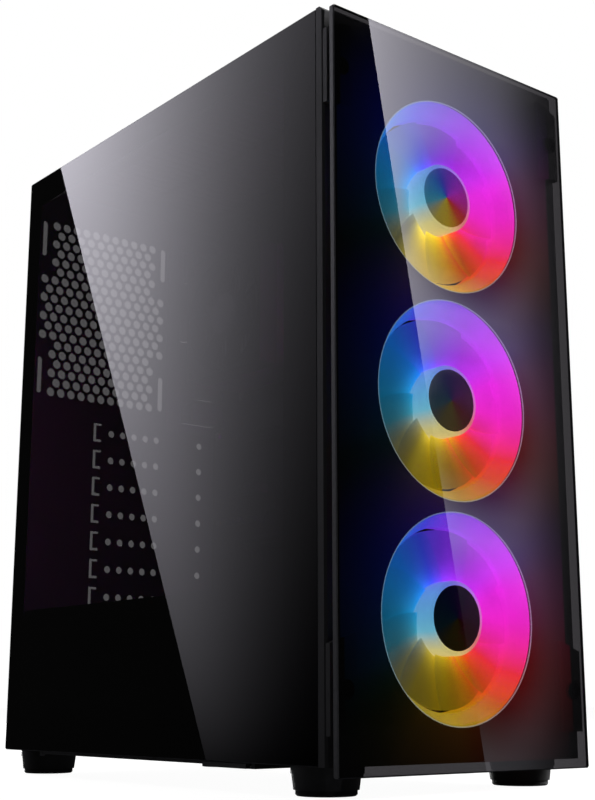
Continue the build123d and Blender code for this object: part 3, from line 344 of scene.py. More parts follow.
def light_wheel_group():
    """Colour and level of light that turn round a fan's axis, from the angle about a centre."""
    made = bpy.data.node_groups.get("Light Wheel")
    if made:
        return made
    tree, wire, start, end = new_group(
        "Light Wheel",
        (("Centre", "Vector", (0, 0, 0)), ("Whiteness", "Float", 0.0), ("Evenness", "Float", 1.0),
         ("Warmth", "Float", 0.0)),
        (("Color", "Color"), ("Level", "Float"), ("Radius", "Float")))
    place = wire.node("ShaderNodeTexCoord")
    offset = wire.node("ShaderNodeVectorMath", operation="SUBTRACT")
    wire.link(place.outputs["Object"], offset.inputs[0])
    wire.link(start.outputs["Centre"], offset.inputs[1])
    parts = wire.node("ShaderNodeSeparateXYZ")
    wire.link(offset.outputs[0], parts.inputs[0])
    angle = wire.math("ARCTAN2", parts.outputs["Z"], parts.outputs["X"])
    turn = wire.math("FRACT", wire.math("MULTIPLY_ADD", angle, 1 / math.tau, 1.0))
    ramp = wire.node("ShaderNodeValToRGB")
    wire.link(turn, ramp.inputs["Fac"])
    fill_ramp(ramp.color_ramp, WHEEL_COLOURS)
    dimmer = wire.node("ShaderNodeValToRGB")
    wire.link(turn, dimmer.inputs["Fac"])
    fill_ramp(dimmer.color_ramp, [(share, (level,) * 3) for share, level in WHEEL_LEVELS])
    for stop in dimmer.color_ramp.elements:
        stop.color[3] = 1.0 if YELLOW_SIDE[0] < stop.position < YELLOW_SIDE[1] else 0.0
    level = wire.math("POWER", dimmer.outputs["Color"], start.outputs["Evenness"])
    warm = wire.math("MULTIPLY", dimmer.outputs["Alpha"], start.outputs["Warmth"])
    wire.link(wire.math("MAXIMUM", level, warm), end.inputs["Level"])
    pale = wire.node("ShaderNodeMix", data_type="RGBA")
    wire.link(start.outputs["Whiteness"], pale.inputs["Factor"])
    wire.link(ramp.outputs["Color"], pale.inputs["A"])
    pale.inputs["B"].default_value = PALE_LIGHT
    wire.link(pale.outputs["Result"], end.inputs["Color"])
    flat = wire.math("POWER", parts.outputs["X"], 2.0)
    flat = wire.math("ADD", flat, wire.math("POWER", parts.outputs["Z"], 2.0))
    wire.link(wire.math("SQRT", flat), end.inputs["Radius"])
    return tree


def painted_spill_group():
    """Soft spill of a lit fan on the plastic round it, painted as emission: a painted pool of light in the
    wheel's colours, fading with radius.

    Half Width ends it at the front's sides, so that it doesn't wrap round onto them."""
    made = bpy.data.node_groups.get("Painted Light Spill")
    if made:
        return made
    tree, wire, start, end = new_group(
        "Painted Light Spill",
        (("Centre", "Vector", (0, 0, 0)), ("Start Radius", "Float", 0.058), ("Reach", "Float", 0.06),
         ("Half Width", "Float", 0.086)),
        (("Color", "Color"),))
    wheel = add_group(wire, light_wheel_group(), Evenness=0.7)
    wire.link(start.outputs["Centre"], wheel.inputs["Centre"])
    away = wire.math("SUBTRACT", wheel.outputs["Radius"], start.outputs["Start Radius"])
    away = wire.math("DIVIDE", wire.math("MAXIMUM", away, 0.0), start.outputs["Reach"])
    share = wire.math("POWER", wire.math("MAXIMUM", wire.math("SUBTRACT", 1.0, away), 0.0), 2.0)
    place = wire.node("ShaderNodeTexCoord")
    parts = wire.node("ShaderNodeSeparateXYZ")
    wire.link(place.outputs["Object"], parts.inputs[0])
    inside = wire.math("LESS_THAN", wire.math("ABSOLUTE", parts.outputs["X"]), start.outputs["Half Width"])
    share = wire.math("MULTIPLY", share, inside)
    share = wire.math("MULTIPLY", share, wheel.outputs["Level"])
    deeper = multiply(wire, wheel.outputs["Color"], wheel.outputs["Color"])
    deeper = multiply(wire, deeper, wheel.outputs["Color"])
    wire.link(multiply(wire, deeper, share), end.inputs["Color"])
    return tree


# ---------------------------------------------------------------- materials
def new_material(name):
    """A material with only a Principled shader, and the wiring for its nodes."""
    material = bpy.data.materials.new(name)
    material.use_nodes = True
    wire = Wiring(material.node_tree)
    shader = material.node_tree.nodes["Principled BSDF"]
    return material, wire, shader


def add_group(wire, tree, **values):
    """Place a node group and set its named inputs."""
    made = wire.node("ShaderNodeGroup")
    made.node_tree = tree
    for key, value in values.items():
        made.inputs[key.replace("_", " ")].default_value = value
    return made


def coated(name, colour, worn, grain, roughness, bump=0.000009, metallic=0.0):
    """Painted steel, moulded plastic or plated metal, from the powder coat group."""
    material, wire, shader = new_material(name)
    coat = add_group(wire, powder_coat_group(), Coat_Color=(*colour, 1), Worn_Color=(*worn, 1),
                     Grain_Size=grain, Roughness=roughness)
    wire.link(coat.outputs["Color"], shader.inputs["Base Color"])
    wire.link(coat.outputs["Roughness"], shader.inputs["Roughness"])
    grit = wire.node("ShaderNodeBump")
    grit.inputs["Distance"].default_value = bump
    grit.inputs["Strength"].default_value = 1.0
    wire.link(coat.outputs["Height"], grit.inputs["Height"])
    wire.link(grit.outputs["Normal"], shader.inputs["Normal"])
    shader.inputs["Metallic"].default_value = metallic
    return material


def finish(name):
    """One of the listed finishes as a material."""
    return coated(name, *FINISHES[name])


def glass_material(name, tint, refraction):
    """Clear tinted glass."""
    material, _, shader = new_material(name)
    shader.inputs["Base Color"].default_value = (*tint, 1)
    shader.inputs["Transmission Weight"].default_value = 1.0
    shader.inputs["Roughness"].default_value = 0.0
    shader.inputs["IOR"].default_value = refraction
    return material


def glow_material(name, centre, strength, base, whiteness=0.0, evenness=0.0, warmth=0.0,
                  hub_boost=None):
    """Milky plastic that is lit from inside, with the light wheel's colours.

    evenness is the power on the level round the wheel, warmth its least level on the yellow side,
    and hub_boost gives the radius of the hub and how much brighter the plastic is against it."""
    material, wire, shader = new_material(name)
    wheel = add_group(wire, light_wheel_group(), Centre=centre, Whiteness=whiteness,
                      Evenness=evenness, Warmth=warmth)
    light = multiply(wire, wheel.outputs["Color"], wheel.outputs["Level"])
    streak = add_noise(wire, scale=60.0)
    unevenness = 0.3
    cloudy = wire.math("MULTIPLY_ADD", streak.outputs["Fac"], unevenness, 1 - unevenness / 2)
    if hub_boost:
        hub, boost = hub_boost
        fade = 0.006
        away = wire.math("DIVIDE", wire.math("SUBTRACT", wheel.outputs["Radius"], hub), fade)
        away = wire.math("EXPONENT", wire.math("MULTIPLY", wire.math("MAXIMUM", away, 0.0), -1.0))
        away = wire.math("MULTIPLY", away, wire.math("SUBTRACT", 1.0, wheel.outputs["Level"]))
        cloudy = wire.math("MULTIPLY", cloudy, wire.math("MULTIPLY_ADD", away, boost, 1.0))
    wire.link(multiply(wire, light, cloudy), shader.inputs["Emission Color"])
    shader.inputs["Emission Strength"].default_value = strength
    shader.inputs["Base Color"].default_value = (*base, 1)
    shader.inputs["Roughness"].default_value = 0.4
    return material


def dress(nodes, material):
    """Give CAD nodes one material."""
    for node in nodes:
        mesh = NODES[node].data
        mesh.materials.clear()
        mesh.materials.append(material)


# ---------------------------------------------------------------- mesh helpers
def piece_from_bmesh(name, shape, body, materials, smooth=True):
    """Turn a bmesh into a named piece that rides on a body."""
    mesh = bpy.data.meshes.new(name)
    shape.to_mesh(mesh)
    shape.free()
    if smooth:
        mesh.shade_smooth()
        mesh.set_sharp_from_angle(angle=SHARP_ANGLE)
    for material in materials:
        mesh.materials.append(material)
    piece = bpy.data.objects.new(name, mesh)
    bpy.context.scene.collection.objects.link(piece)
    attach(piece, body)
    return piece


def rounded_plate(low, high, axis, radius, segments=6):
    """A slab with rounded corners, its thickness along the given axis (0 is X, 1 is Y)."""
    across = 1 - axis
    shape = bmesh.new()
    left, right = low[across] + radius, high[across] - radius
    corners = ((left, low[2] + radius, 180), (right, low[2] + radius, 270),
               (right, high[2] - radius, 0), (left, high[2] - radius, 90))
    outline = []
    for u, v, start in corners:
        for step in range(segments + 1):
            turn = math.radians(start + 90 * step / segments)
            outline.append((u + radius * math.cos(turn), v + radius * math.sin(turn)))
    rings = []
    for depth in (low[axis], high[axis]):
        ring = []
        for u, v in outline:
            point = [0.0, 0.0, v]
            point[axis] = depth
            point[across] = u
            ring.append(shape.verts.new(point))
        rings.append(ring)
    return skin_rings(shape, rings)


def lathe(profile, centre, axis, segments=96, closed=True):
    """Turn a profile of (radius, height) points round an axis through the centre."""
    turned = Vector(axis).normalized()
    side = Vector((0, 0, 1)) if abs(turned.z) < 0.9 else Vector((1, 0, 0))
    first = turned.cross(side).normalized()
    second = turned.cross(first).normalized()
    shape = bmesh.new()
    rings = []
    for radius, height in profile:
        if radius == 0.0:
            rings.append([shape.verts.new(centre + turned * height)])
            continue
        ring = []
        for step in range(segments):
            angle = math.tau * step / segments
            spoke = first * math.cos(angle) + second * math.sin(angle)
            ring.append(shape.verts.new(centre + turned * height + spoke * radius))
        rings.append(ring)
    pairs = list(zip(rings, rings[1:]))
    if closed and len(rings[0]) > 1 and len(rings[-1]) > 1:
        pairs.append((rings[-1], rings[0]))
    for low, high in pairs:
        for step in range(segments):
            after = (step + 1) % segments
            if len(low) == 1:
                shape.faces.new((low[0], high[step], high[after]))
            elif len(high) == 1:
                shape.faces.new((low[step], high[0], low[after]))
            else:
                shape.faces.new((low[step], high[step], high[after], low[after]))
    bmesh.ops.recalc_face_normals(shape, faces=shape.faces)
    return shape


def islands(node):
    """The separate solids of a CAD node, each as a list of its points."""
    mesh = NODES[node].data
    parent = list(range(len(mesh.vertices)))

    def root(index):
        while parent[index] != index:
            parent[index] = parent[parent[index]]
            index = parent[index]
        return index

    places = {}
    for vert in mesh.vertices:
        key = tuple(round(value, 6) for value in vert.co)
        parent[root(vert.index)] = root(places.setdefault(key, vert.index))
    for edge in mesh.edges:
        parent[root(edge.vertices[0])] = root(edge.vertices[1])
    groups = {}
    for vert in mesh.vertices:
        groups.setdefault(root(vert.index), []).append(vert.co.copy())
    return [groups[key] for key in sorted(groups)]


def turned_part(profile, segments):
    """A round part that stands on the origin."""
    return lathe(profile, Vector((0, 0, 0)), (0, 0, 1), segments=segments, closed=False)


def screw_of(points):
    """Head place, outward direction, head radius and height, shank radius and length of one screw."""
    low = Vector([min(point[axis] for point in points) for axis in range(3)])
    high = Vector([max(point[axis] for point in points) for axis in range(3)])
    size, centre = high - low, (low + high) / 2
    pairs = ((abs(size[1] - size[2]), 0), (abs(size[0] - size[2]), 1), (abs(size[0] - size[1]), 2))
    axis = min(pairs)[1]
    across = [other for other in range(3) if other != axis]

    def radial(point):
        return math.hypot(*(point[other] - centre[other] for other in across))

    head = max(radial(point) for point in points)
    wide = [point[axis] for point in points if radial(point) > 0.9 * head]
    sign = 1 if high[axis] - max(wide) < min(wide) - low[axis] else -1
    outward = Vector((0, 0, 0))
    outward[axis] = sign
    seat = min(wide) if sign > 0 else max(wide)
    top = high[axis] if sign > 0 else low[axis]
    far = low[axis] if sign > 0 else high[axis]
    shank = max((radial(point) for point in points if abs(point[axis] - far) < 0.0002), default=0.0015)
    place = centre.copy()
    place[axis] = seat
    return place, outward, head, abs(top - seat), min(shank, 0.7 * head), abs(seat - far)


def copies_tree():
    """Place Copies: put a template on each point, turned to the point's facing, as real geometry."""
    tree = bpy.data.node_groups.get("Place Copies")
    if tree:
        return tree
    tree = bpy.data.node_groups.new("Place Copies", "GeometryNodeTree")
    for name, kind in (("Points", "NodeSocketGeometry"), ("Template", "NodeSocketObject"),
                       ("Size", "NodeSocketFloat"), ("Turn Spread", "NodeSocketFloat"),
                       ("Seed", "NodeSocketInt"), ("Material", "NodeSocketMaterial")):
        tree.interface.new_socket(name=name, in_out="INPUT", socket_type=kind)
    tree.interface.new_socket(name="Copies", in_out="OUTPUT", socket_type="NodeSocketGeometry")
    wire = Wiring(tree)
    start, end = wire.node("NodeGroupInput"), wire.node("NodeGroupOutput")
    source = wire.node("GeometryNodeObjectInfo")
    wire.link(start.outputs["Template"], source.inputs["Object"])
    facing = wire.node("GeometryNodeInputNamedAttribute", data_type="FLOAT_VECTOR")
    facing.inputs["Name"].default_value = "facing"
    align = wire.node("FunctionNodeAlignRotationToVector", axis="Z")
    wire.link(facing.outputs["Attribute"], align.inputs["Vector"])
    chance = wire.node("FunctionNodeRandomValue", data_type="FLOAT")
    wire.link(start.outputs["Turn Spread"], chance.inputs[3])
    wire.link(start.outputs["Seed"], chance.inputs["Seed"])
    spin = wire.node("FunctionNodeAxisAngleToRotation")
    spin.inputs["Axis"].default_value = (0, 0, 1)
    wire.link(chance.outputs[1], spin.inputs["Angle"])
    turn = wire.node("FunctionNodeRotateRotation", rotation_space="LOCAL")
    wire.link(align.outputs["Rotation"], turn.inputs["Rotation"])
    wire.link(spin.outputs["Rotation"], turn.inputs["Rotate By"])
    put = wire.node("GeometryNodeInstanceOnPoints")
    wire.link(start.outputs["Points"], put.inputs["Points"])
    wire.link(source.outputs["Geometry"], put.inputs["Instance"])
    wire.link(turn.outputs["Rotation"], put.inputs["Rotation"])
    wire.link(start.outputs["Size"], put.inputs["Scale"])
    real = wire.node("GeometryNodeRealizeInstances")
    wire.link(put.outputs["Instances"], real.inputs["Geometry"])
    paint = wire.node("GeometryNodeSetMaterial")
    wire.link(real.outputs["Geometry"], paint.inputs["Geometry"])
    wire.link(start.outputs["Material"], paint.inputs["Material"])
    wire.link(paint.outputs["Geometry"], end.inputs["Copies"])
    return tree


def place_copies(name, template, spots, body, material, turn_spread=0.0, seed=1):
    """Copies of a template bmesh at (place, facing) spots, made plain geometry riding on a body."""
    pattern_mesh = bpy.data.meshes.new(f"{name}_template")
    template.to_mesh(pattern_mesh)
    template.free()
    pattern_mesh.shade_smooth()
    pattern_mesh.set_sharp_from_angle(angle=COPY_SHARP_ANGLE)
    pattern = bpy.data.objects.new(f"{name}_template", pattern_mesh)
    bpy.context.scene.collection.objects.link(pattern)
    points_mesh = bpy.data.meshes.new(f"{name}_points")
    points_mesh.from_pydata([place for place, _ in spots], [], [])
    way = points_mesh.attributes.new("facing", "FLOAT_VECTOR", "POINT")
    for index, (_, facing) in enumerate(spots):
        way.data[index].vector = facing
    holder = bpy.data.objects.new(f"{name}_points", points_mesh)
    bpy.context.scene.collection.objects.link(holder)
    tree = copies_tree()
    modifier = holder.modifiers.new("copies", "NODES")
    modifier.node_group = tree
    values = {"Template": pattern, "Size": 1.0, "Turn Spread": turn_spread, "Seed": seed,
              "Material": material}
    for socket in tree.interface.items_tree:
        if socket.name in values:
            modifier[socket.identifier] = values[socket.name]
    depsgraph = bpy.context.evaluated_depsgraph_get()
    mesh = bpy.data.meshes.new_from_object(holder.evaluated_get(depsgraph), depsgraph=depsgraph)
    if not mesh.polygons:
        raise RuntimeError(f"no copies were made for {name}")
    for scratch in (holder, pattern):
        bpy.data.objects.remove(scratch)
    mesh.name = name
    piece = bpy.data.objects.new(name, mesh)
    bpy.context.scene.collection.objects.link(piece)
    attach(piece, body)
    return piece


def cross_screw(head, height, shank, length):
    """A pan-head screw with a cross recess, its seat at the origin and its head up +Z."""
    depth = 0.55 * height
    arm, half = 0.58 * head, 0.11 * head
    outline = [(arm, -half), (arm, half), (half, half), (half, arm), (-half, arm), (-half, half),
               (-arm, half), (-arm, -half), (-half, -half), (-half, -arm), (half, -arm), (half, -half)]
    taper = 0.72
    shape = bmesh.new()
    around = [math.atan2(y, x) for x, y in outline]
    rings = [[shape.verts.new((taper * x, taper * y, height - depth)) for x, y in outline],
             [shape.verts.new((x, y, height)) for x, y in outline]]
    for radius, z in ((0.86 * head, 0.9 * height), (head, 0.5 * height), (head, 0.0), (shank, 0.0),
                      (shank, -length + 0.4 * shank), (0.7 * shank, -length)):
        rings.append([shape.verts.new((radius * math.cos(turn), radius * math.sin(turn), z))
                      for turn in around])
    return skin_rings(shape, rings)


def skin_rings(shape, rings):
    """Join rings of equally many points into a closed skin with a face at each end."""
    count = len(rings[0])
    shape.faces.new(rings[0])
    for low, high in zip(rings, rings[1:]):
        for step in range(count):
            after = (step + 1) % count
            shape.faces.new((low[step], low[after], high[after], high[step]))
    shape.faces.new(list(reversed(rings[-1])))
    bmesh.ops.recalc_face_normals(shape, faces=shape.faces)
    return shape


def knurled_screw(head, height, shank, length, teeth=30):
    """A thumbscrew with a knurled head and a dished top, its seat at the origin, its head up +Z."""
    count = teeth * 4
    shape = bmesh.new()

    def ring(radius, z, tooth=0.0):
        made = []
        for step in range(count):
            turn = math.tau * step / count
            out = radius - tooth * (0.5 - 0.5 * math.cos(teeth * turn))
            made.append(shape.verts.new((out * math.cos(turn), out * math.sin(turn), z)))
        return made

    tooth = 0.045 * head
    rings = [ring(shank * 0.7, -length), ring(shank, -length + 0.4 * shank), ring(shank, 0.0),
             ring(0.9 * head, 0.0), ring(head, 0.08 * height, tooth), ring(head, 0.86 * height, tooth),
             ring(0.93 * head, 0.97 * height), ring(0.88 * head, height), ring(0.62 * head, height),
             ring(0.56 * head, 0.92 * height)]
    return skin_rings(shape, rings)


def box_shape(low, high, bevel=0.0):
    """A box with bevelled edges."""
    shape = bmesh.new()
    bmesh.ops.create_cube(shape, size=1.0)
    low, high = Vector(low), Vector(high)
    for vert in shape.verts:
        vert.co = Vector([(low[axis] + high[axis]) / 2 + vert.co[axis] * (high[axis] - low[axis])
                          for axis in range(3)])
    if bevel:
        bmesh.ops.bevel(shape, geom=shape.edges[:], offset=bevel, segments=2, affect="EDGES")
    return shape


def square_part(half, height, bevel):
    """A square part that stands on the origin."""
    return box_shape((-half, -half, 0.0), (half, half, height), bevel)


# ---------------------------------------------------------------- operators
class TOWER_OT_stage(bpy.types.Operator):
    """Set up the camera, the floor, the white surround and the light cards."""

    bl_idname = "tower.stage"
    bl_label = "Stage"

    def execute(self, context):
        settings = context.scene.tower_stage
        add_camera(context, settings)
        add_surround(context)
        add_floor()
        add_light_cards(settings)
        add_soft_lights()
        return {"FINISHED"}


def add_camera(context, settings):
    """Place the camera at a low corner of the tower, looking up."""
    data = bpy.data.cameras.new("camera")
    data.lens = settings.lens
    data.sensor_width = 36.0
    data.clip_start, data.clip_end = 0.01, 60.0
    camera = bpy.data.objects.new("camera", data)
    turn, tilt = settings.camera_turn, settings.camera_tilt
    ahead = Vector((math.sin(turn) * math.cos(tilt), math.cos(turn) * math.cos(tilt), math.sin(tilt)))
    camera.location = settings.camera_place
    camera.rotation_mode = "QUATERNION"
    camera.rotation_quaternion = ahead.to_track_quat("-Z", "Y")
    context.scene.collection.objects.link(camera)
    context.scene.camera = camera
    context.scene.view_settings.view_transform = "Standard"


def straight_view(wire, path):
    """1 for a ray that has only gone straight on or through glass since the camera."""
    bounces = wire.math("ADD", path.outputs["Diffuse Depth"], path.outputs["Glossy Depth"])
    return wire.math("LESS_THAN", bounces, 0.5)


def add_surround(context):
    """White surround straight ahead and through glass, dim in reflections."""
    world = bpy.data.worlds.new("surround")
    context.scene.world = world
    world.use_nodes = True
    wire = Wiring(world.node_tree)
    back = world.node_tree.nodes["Background"]
    path = wire.node("ShaderNodeLightPath")
    strength = wire.math("MULTIPLY_ADD", straight_view(wire, path), BACKDROP_WHITE,
                         BACKDROP_IN_GLOSS)
    wire.link(strength, back.inputs["Strength"])
    back.inputs["Color"].default_value = (1, 1, 1, 1)


def add_floor():
    """A wide pale floor that stays out of the reflections."""
    shape = bmesh.new()
    shape.faces.new([shape.verts.new((x * FLOOR_HALF, y * FLOOR_HALF, -FLOOR_DROP))
                     for x, y in ((-1, -1), (1, -1), (1, 1), (-1, 1))])
    mesh = bpy.data.meshes.new("floor")
    shape.to_mesh(mesh)
    shape.free()
    material, wire, shader = new_material("pale_floor")
    shader.inputs["Base Color"].default_value = (0.12, 0.12, 0.12, 1)
    shader.inputs["Roughness"].default_value = 1.0
    shader.inputs["Specular IOR Level"].default_value = 0.0
    shader.inputs["Emission Color"].default_value = (1, 1, 1, 1)
    path = wire.node("ShaderNodeLightPath")
    wire.link(wire.math("MULTIPLY", straight_view(wire, path), FLOOR_WHITE),
              shader.inputs["Emission Strength"])
    mesh.materials.append(material)
    floor = bpy.data.objects.new("floor", mesh)
    floor.visible_glossy = False
    bpy.context.scene.collection.objects.link(floor)


def card_material():
    """Emission read from the card's own brightness attribute."""
    material = bpy.data.materials.new("light_card")
    material.use_nodes = True
    tree = material.node_tree
    wire = Wiring(tree)
    tree.nodes.remove(tree.nodes["Principled BSDF"])
    level = wire.node("ShaderNodeAttribute", attribute_name="glow")
    lit = wire.node("ShaderNodeEmission")
    lit.inputs["Color"].default_value = CARD_TINT
    wire.link(level.outputs["Fac"], lit.inputs["Strength"])
    wire.link(lit.outputs[0], tree.nodes["Material Output"].inputs["Surface"])
    return material


def skin_grid(shape, grid):
    """Lay faces between the rows of a grid of points."""
    for row, above in zip(grid, grid[1:]):
        for column in range(len(row) - 1):
            shape.faces.new((row[column], row[column + 1], above[column + 1], above[column]))


def add_card(name, material, to_card, edge, far, glow):
    """A card whose image in a glass plate starts at a slanting edge and fades from there.

    edge(z) is where the image starts on the glass and far where it ends, to_card maps a point of
    the glass to the card, and glow gives its light."""
    low, high = CARD_HEIGHTS
    shape = bmesh.new()
    layer = shape.verts.layers.float.new("glow")
    grid = []
    for row in range(CARD_STEPS + 1):
        z = low + (high - low) * row / CARD_STEPS
        line = []
        for column in range(CARD_STEPS + 1):
            along = edge(z) + (far - edge(z)) * column / CARD_STEPS
            vert = shape.verts.new(to_card(along, z))
            vert[layer] = glow(along, z)
            line.append(vert)
        grid.append(line)
    skin_grid(shape, grid)
    mesh = bpy.data.meshes.new(name)
    shape.to_mesh(mesh)
    shape.free()
    mesh.materials.append(material)
    card = bpy.data.objects.new(name, mesh)
    card.visible_camera = False
    card.visible_diffuse = False
    card.visible_transmission = False
    card.visible_shadow = False
    bpy.context.scene.collection.objects.link(card)


def smooth_step(low, high, value):
    """Ease from 0 at low to 1 at high."""
    share = min(1.0, max(0.0, (value - low) / (high - low)))
    return share * share * (3 - 2 * share)


def add_light_cards(settings):
    """Two large cards that the side glass and the front glass mirror with a slanting edge."""
    material = card_material()
    eye = Vector(settings.camera_place)
    low, _ = CAD_BOUNDS
    fans = [middle(f"fan_frame_{name}") for name in FAN_NAMES]
    # the dips dim the front card round each fan's mirrored place: painted fan shadows in the front glass's
    # reflection
    dip_right, dip_down, dip_inner, dip_outer = 0.008, 0.016, 0.032, 0.066

    def mirrored(axis):
        """How points of the glass that faces an axis map to the card that it mirrors."""
        glass = low[axis]
        mirror_eye = eye.copy()
        mirror_eye[axis] = 2 * glass - eye[axis]
        reach = (mirror_eye[axis] - (glass - settings.card_distance)) / (mirror_eye[axis] - glass)

        def to_card(along, z):
            point = Vector((along, along, z))
            point[axis] = glass
            return mirror_eye + (point - mirror_eye) * reach

        return to_card

    def side_edge(z):
        top, top_y, slant = 0.4268, 0.1272, 0.1961 / 0.4138
        return top_y + slant * (z - top)

    def side_glow(y, z):
        brightness, rise_power, fade_power, reach_low, reach_rise = 13.0, 1.2, 1.7, 0.045, 0.32
        away = max(0.0, side_edge(z) - y) / (reach_low + reach_rise * z)
        return brightness * z ** rise_power * math.exp(-away ** fade_power)

    def front_edge(z):
        top, top_x, slant = 0.4223, -0.0683, 0.0779 / 0.4135
        return top_x + slant * (top - z)

    def front_glow(x, z):
        brightness, fade_length, right_share, foot_share, fan_share = 2.2, 0.065, 0.1, 0.35, 0.08
        fall = brightness * math.exp(-x / fade_length)
        fall *= 1 - (1 - right_share) * smooth_step(0.03, 0.095, x)
        # painted shadow of each fan in the card's reflection
        for fan in fans:
            away = math.hypot(x - fan.x - dip_right, z - fan.z + dip_down)
            fall *= fan_share + (1 - fan_share) * smooth_step(dip_inner, dip_outer, away)
        return fall * (foot_share + (1 - foot_share) * smooth_step(0.0, 0.2, z))

    side_end, front_end = -0.26, 0.16
    add_card("side_light_card", material, mirrored(0), side_edge, side_end, side_glow)
    add_card("front_light_card", material, mirrored(1), front_edge, front_end, front_glow)


def add_soft_lights():
    """Overhead, right and rear soft lights for the sides that the cards don't reach."""
    target = Vector((0.0, 0.0, 0.2))
    for name, place, size, power in (("overhead_light", (0.1, 0.1, 2.3), 1.6, 30.0),
                                     ("right_light", (2.0, -0.3, 1.0), 1.4, 80.0),
                                     ("rear_light", (0.7, 2.1, 0.6), 1.4, 80.0)):
        data = bpy.data.lights.new(name, "AREA")
        data.shape = "SQUARE"
        data.size = size
        data.energy = power
        light = bpy.data.objects.new(name, data)
        light.location = place
        light.rotation_mode = "QUATERNION"
        light.rotation_quaternion = (target - Vector(place)).to_track_quat("-Z", "Y")
        light.visible_camera = False
        light.visible_transmission = False
        bpy.context.scene.collection.objects.link(light)


class TOWER_OT_steel(bpy.types.Operator):
    """Powder-coat the steel body and dress the hidden hardware."""

    bl_idname = "tower.steel"
    bl_label = "Steel and hardware"

    def execute(self, context):
        coats = context.scene.tower_coats
        steel = coated("powder_coated_steel", coats.steel, (0.03, 0.03, 0.033), coats.grain, 0.42)
        dress(("base_plate", "front_frame", "rear_panel", "top_panel", "side_frame", "board_tray",
               "psu_shroud", "right_panel", "left_panel_frame", "drive_cage", "psu_case",
               "slot_covers"), steel)
        plastic = coated("moulded_plastic", coats.plastic, (0.025, 0.025, 0.028), 0.0004, 0.5)
        dress(("feet", "fan_frame_bottom", "fan_frame_middle", "fan_frame_top",
               "io_housing", "bottom_filter", "filter_runners", "top_filter", "cpu_fan_frame",
               "switch_bezel", "psu_inlet", "memory_slots", "expansion_slots", "power_sockets",
               "audio_jacks"), plastic)
        # the bezel's plastic carries a painted pool of the fans' light, added to its emission
        bezel = coated("bezel_plastic", coats.plastic, (0.02, 0.02, 0.023), 0.0004, 0.5)
        add_painted_spill(bezel, context.scene.tower_fans)
        dress(("front_bezel",), bezel)
        for name, nodes in HARDWARE.items():
            dress(nodes, finish(name))
        return {"FINISHED"}


def add_painted_spill(material, fans):
    """Paint the light that the three fans throw on the front's plastic into its emission, as painted light.
    """
    wire = Wiring(material.node_tree)
    shader = material.node_tree.nodes["Principled BSDF"]
    total = None
    for name in FAN_NAMES:
        centre = middle(f"fan_frame_{name}")
        spill = add_group(wire, painted_spill_group(), Centre=(centre.x, 0.0, centre.z))
        if total is None:
            total = spill.outputs["Color"]
            continue
        mix = wire.node("ShaderNodeMix", data_type="RGBA", blend_type="ADD")
        mix.inputs["Factor"].default_value = 1.0
        wire.link(total, mix.inputs["A"])
        wire.link(spill.outputs["Color"], mix.inputs["B"])
        total = mix.outputs["Result"]
    wire.link(total, shader.inputs["Emission Color"])
    shader.inputs["Emission Strength"].default_value = fans.spill


class TOWER_OT_screws(bpy.types.Operator):
    """Make the cross-recess screws and the knurled thumbscrews."""

    bl_idname = "tower.screws"
    bl_label = "Screws"

    def execute(self, context):
        zinc, black, painted_spill_black = finish("zinc_screw"), finish("blackened_screw"), finish("fan_screw")
        # the fan screws take the same painted spill of the fans' light, so that they don't show dark on the
        # painted bezel
        add_painted_spill(painted_spill_black, context.scene.tower_fans)
        for node, body, make, material, slot in (
                ("chassis_screws", "chassis", cross_screw, zinc, "zinc_steel"),
                ("fan_screws", "chassis", cross_screw, painted_spill_black, "black_screws"),
                ("left_thumbscrews", "left_side_panel", knurled_screw, black, "black_screws"),
                ("right_thumbscrews", "right_side_panel", knurled_screw, black, "black_screws")):
            kinds = {}
            for points in islands(node):
                place, outward, *sizes = screw_of(points)
                kinds.setdefault(tuple(round(size, 4) for size in sizes), []).append((place, outward))
            for index, (sizes, spots) in enumerate(sorted(kinds.items(), key=lambda kind: kind[0])):
                piece = place_copies(f"{node}_{index + 1}", make(*sizes), spots, body, material,
                                     turn_spread=1.5, seed=index + 3)
                if index == 0:
                    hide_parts(node)
        return {"FINISHED"}


class TOWER_OT_glass(bpy.types.Operator):
    """Make the two tempered glass plates with ground edges."""

    bl_idname = "tower.glass"
    bl_label = "Glass plates"

    def execute(self, context):
        settings = context.scene.tower_glass
        # the front plate's left edge faces take the lighter copy as a painted highlight, every other edge
        # face the near-black copy with less specular as painted shade
        edge, dark = finish("painted_highlight_glass_edge"), finish("shaded_glass_edge")
        dark.node_tree.nodes["Principled BSDF"].inputs["Specular IOR Level"].default_value = 0.12
        for node, body, axis, name, tint in (
                ("front_glass", "front_panel", 1, "front_glass_plate", settings.front_tint),
                ("left_glass", "left_side_panel", 0, "side_glass_plate", settings.side_tint)):
            clear = glass_material(name.replace("plate", "tint"), tint, settings.refraction)
            low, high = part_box(node)
            shape = rounded_plate(low, high, axis, settings.corner_radius)
            rims = [e for e in shape.edges
                    if abs(e.verts[0].co[axis] - e.verts[1].co[axis]) < 1e-6
                    and len(e.link_faces) == 2]
            bmesh.ops.bevel(shape, geom=rims, offset=settings.edge_bevel, segments=1, affect="EDGES")
            for face in shape.faces:
                flat = abs(face.normal[axis]) > 0.95
                # faces turned to -X are the front plate's left edge, which gets the painted highlight
                lit_edge = axis == 1 and face.normal.x < -0.5
                face.material_index = 0 if flat else 1 if lit_edge else 2
            plate = piece_from_bmesh(name, shape, body, (clear, edge, dark),
                                     smooth=False)
            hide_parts(node)
        return {"FINISHED"}


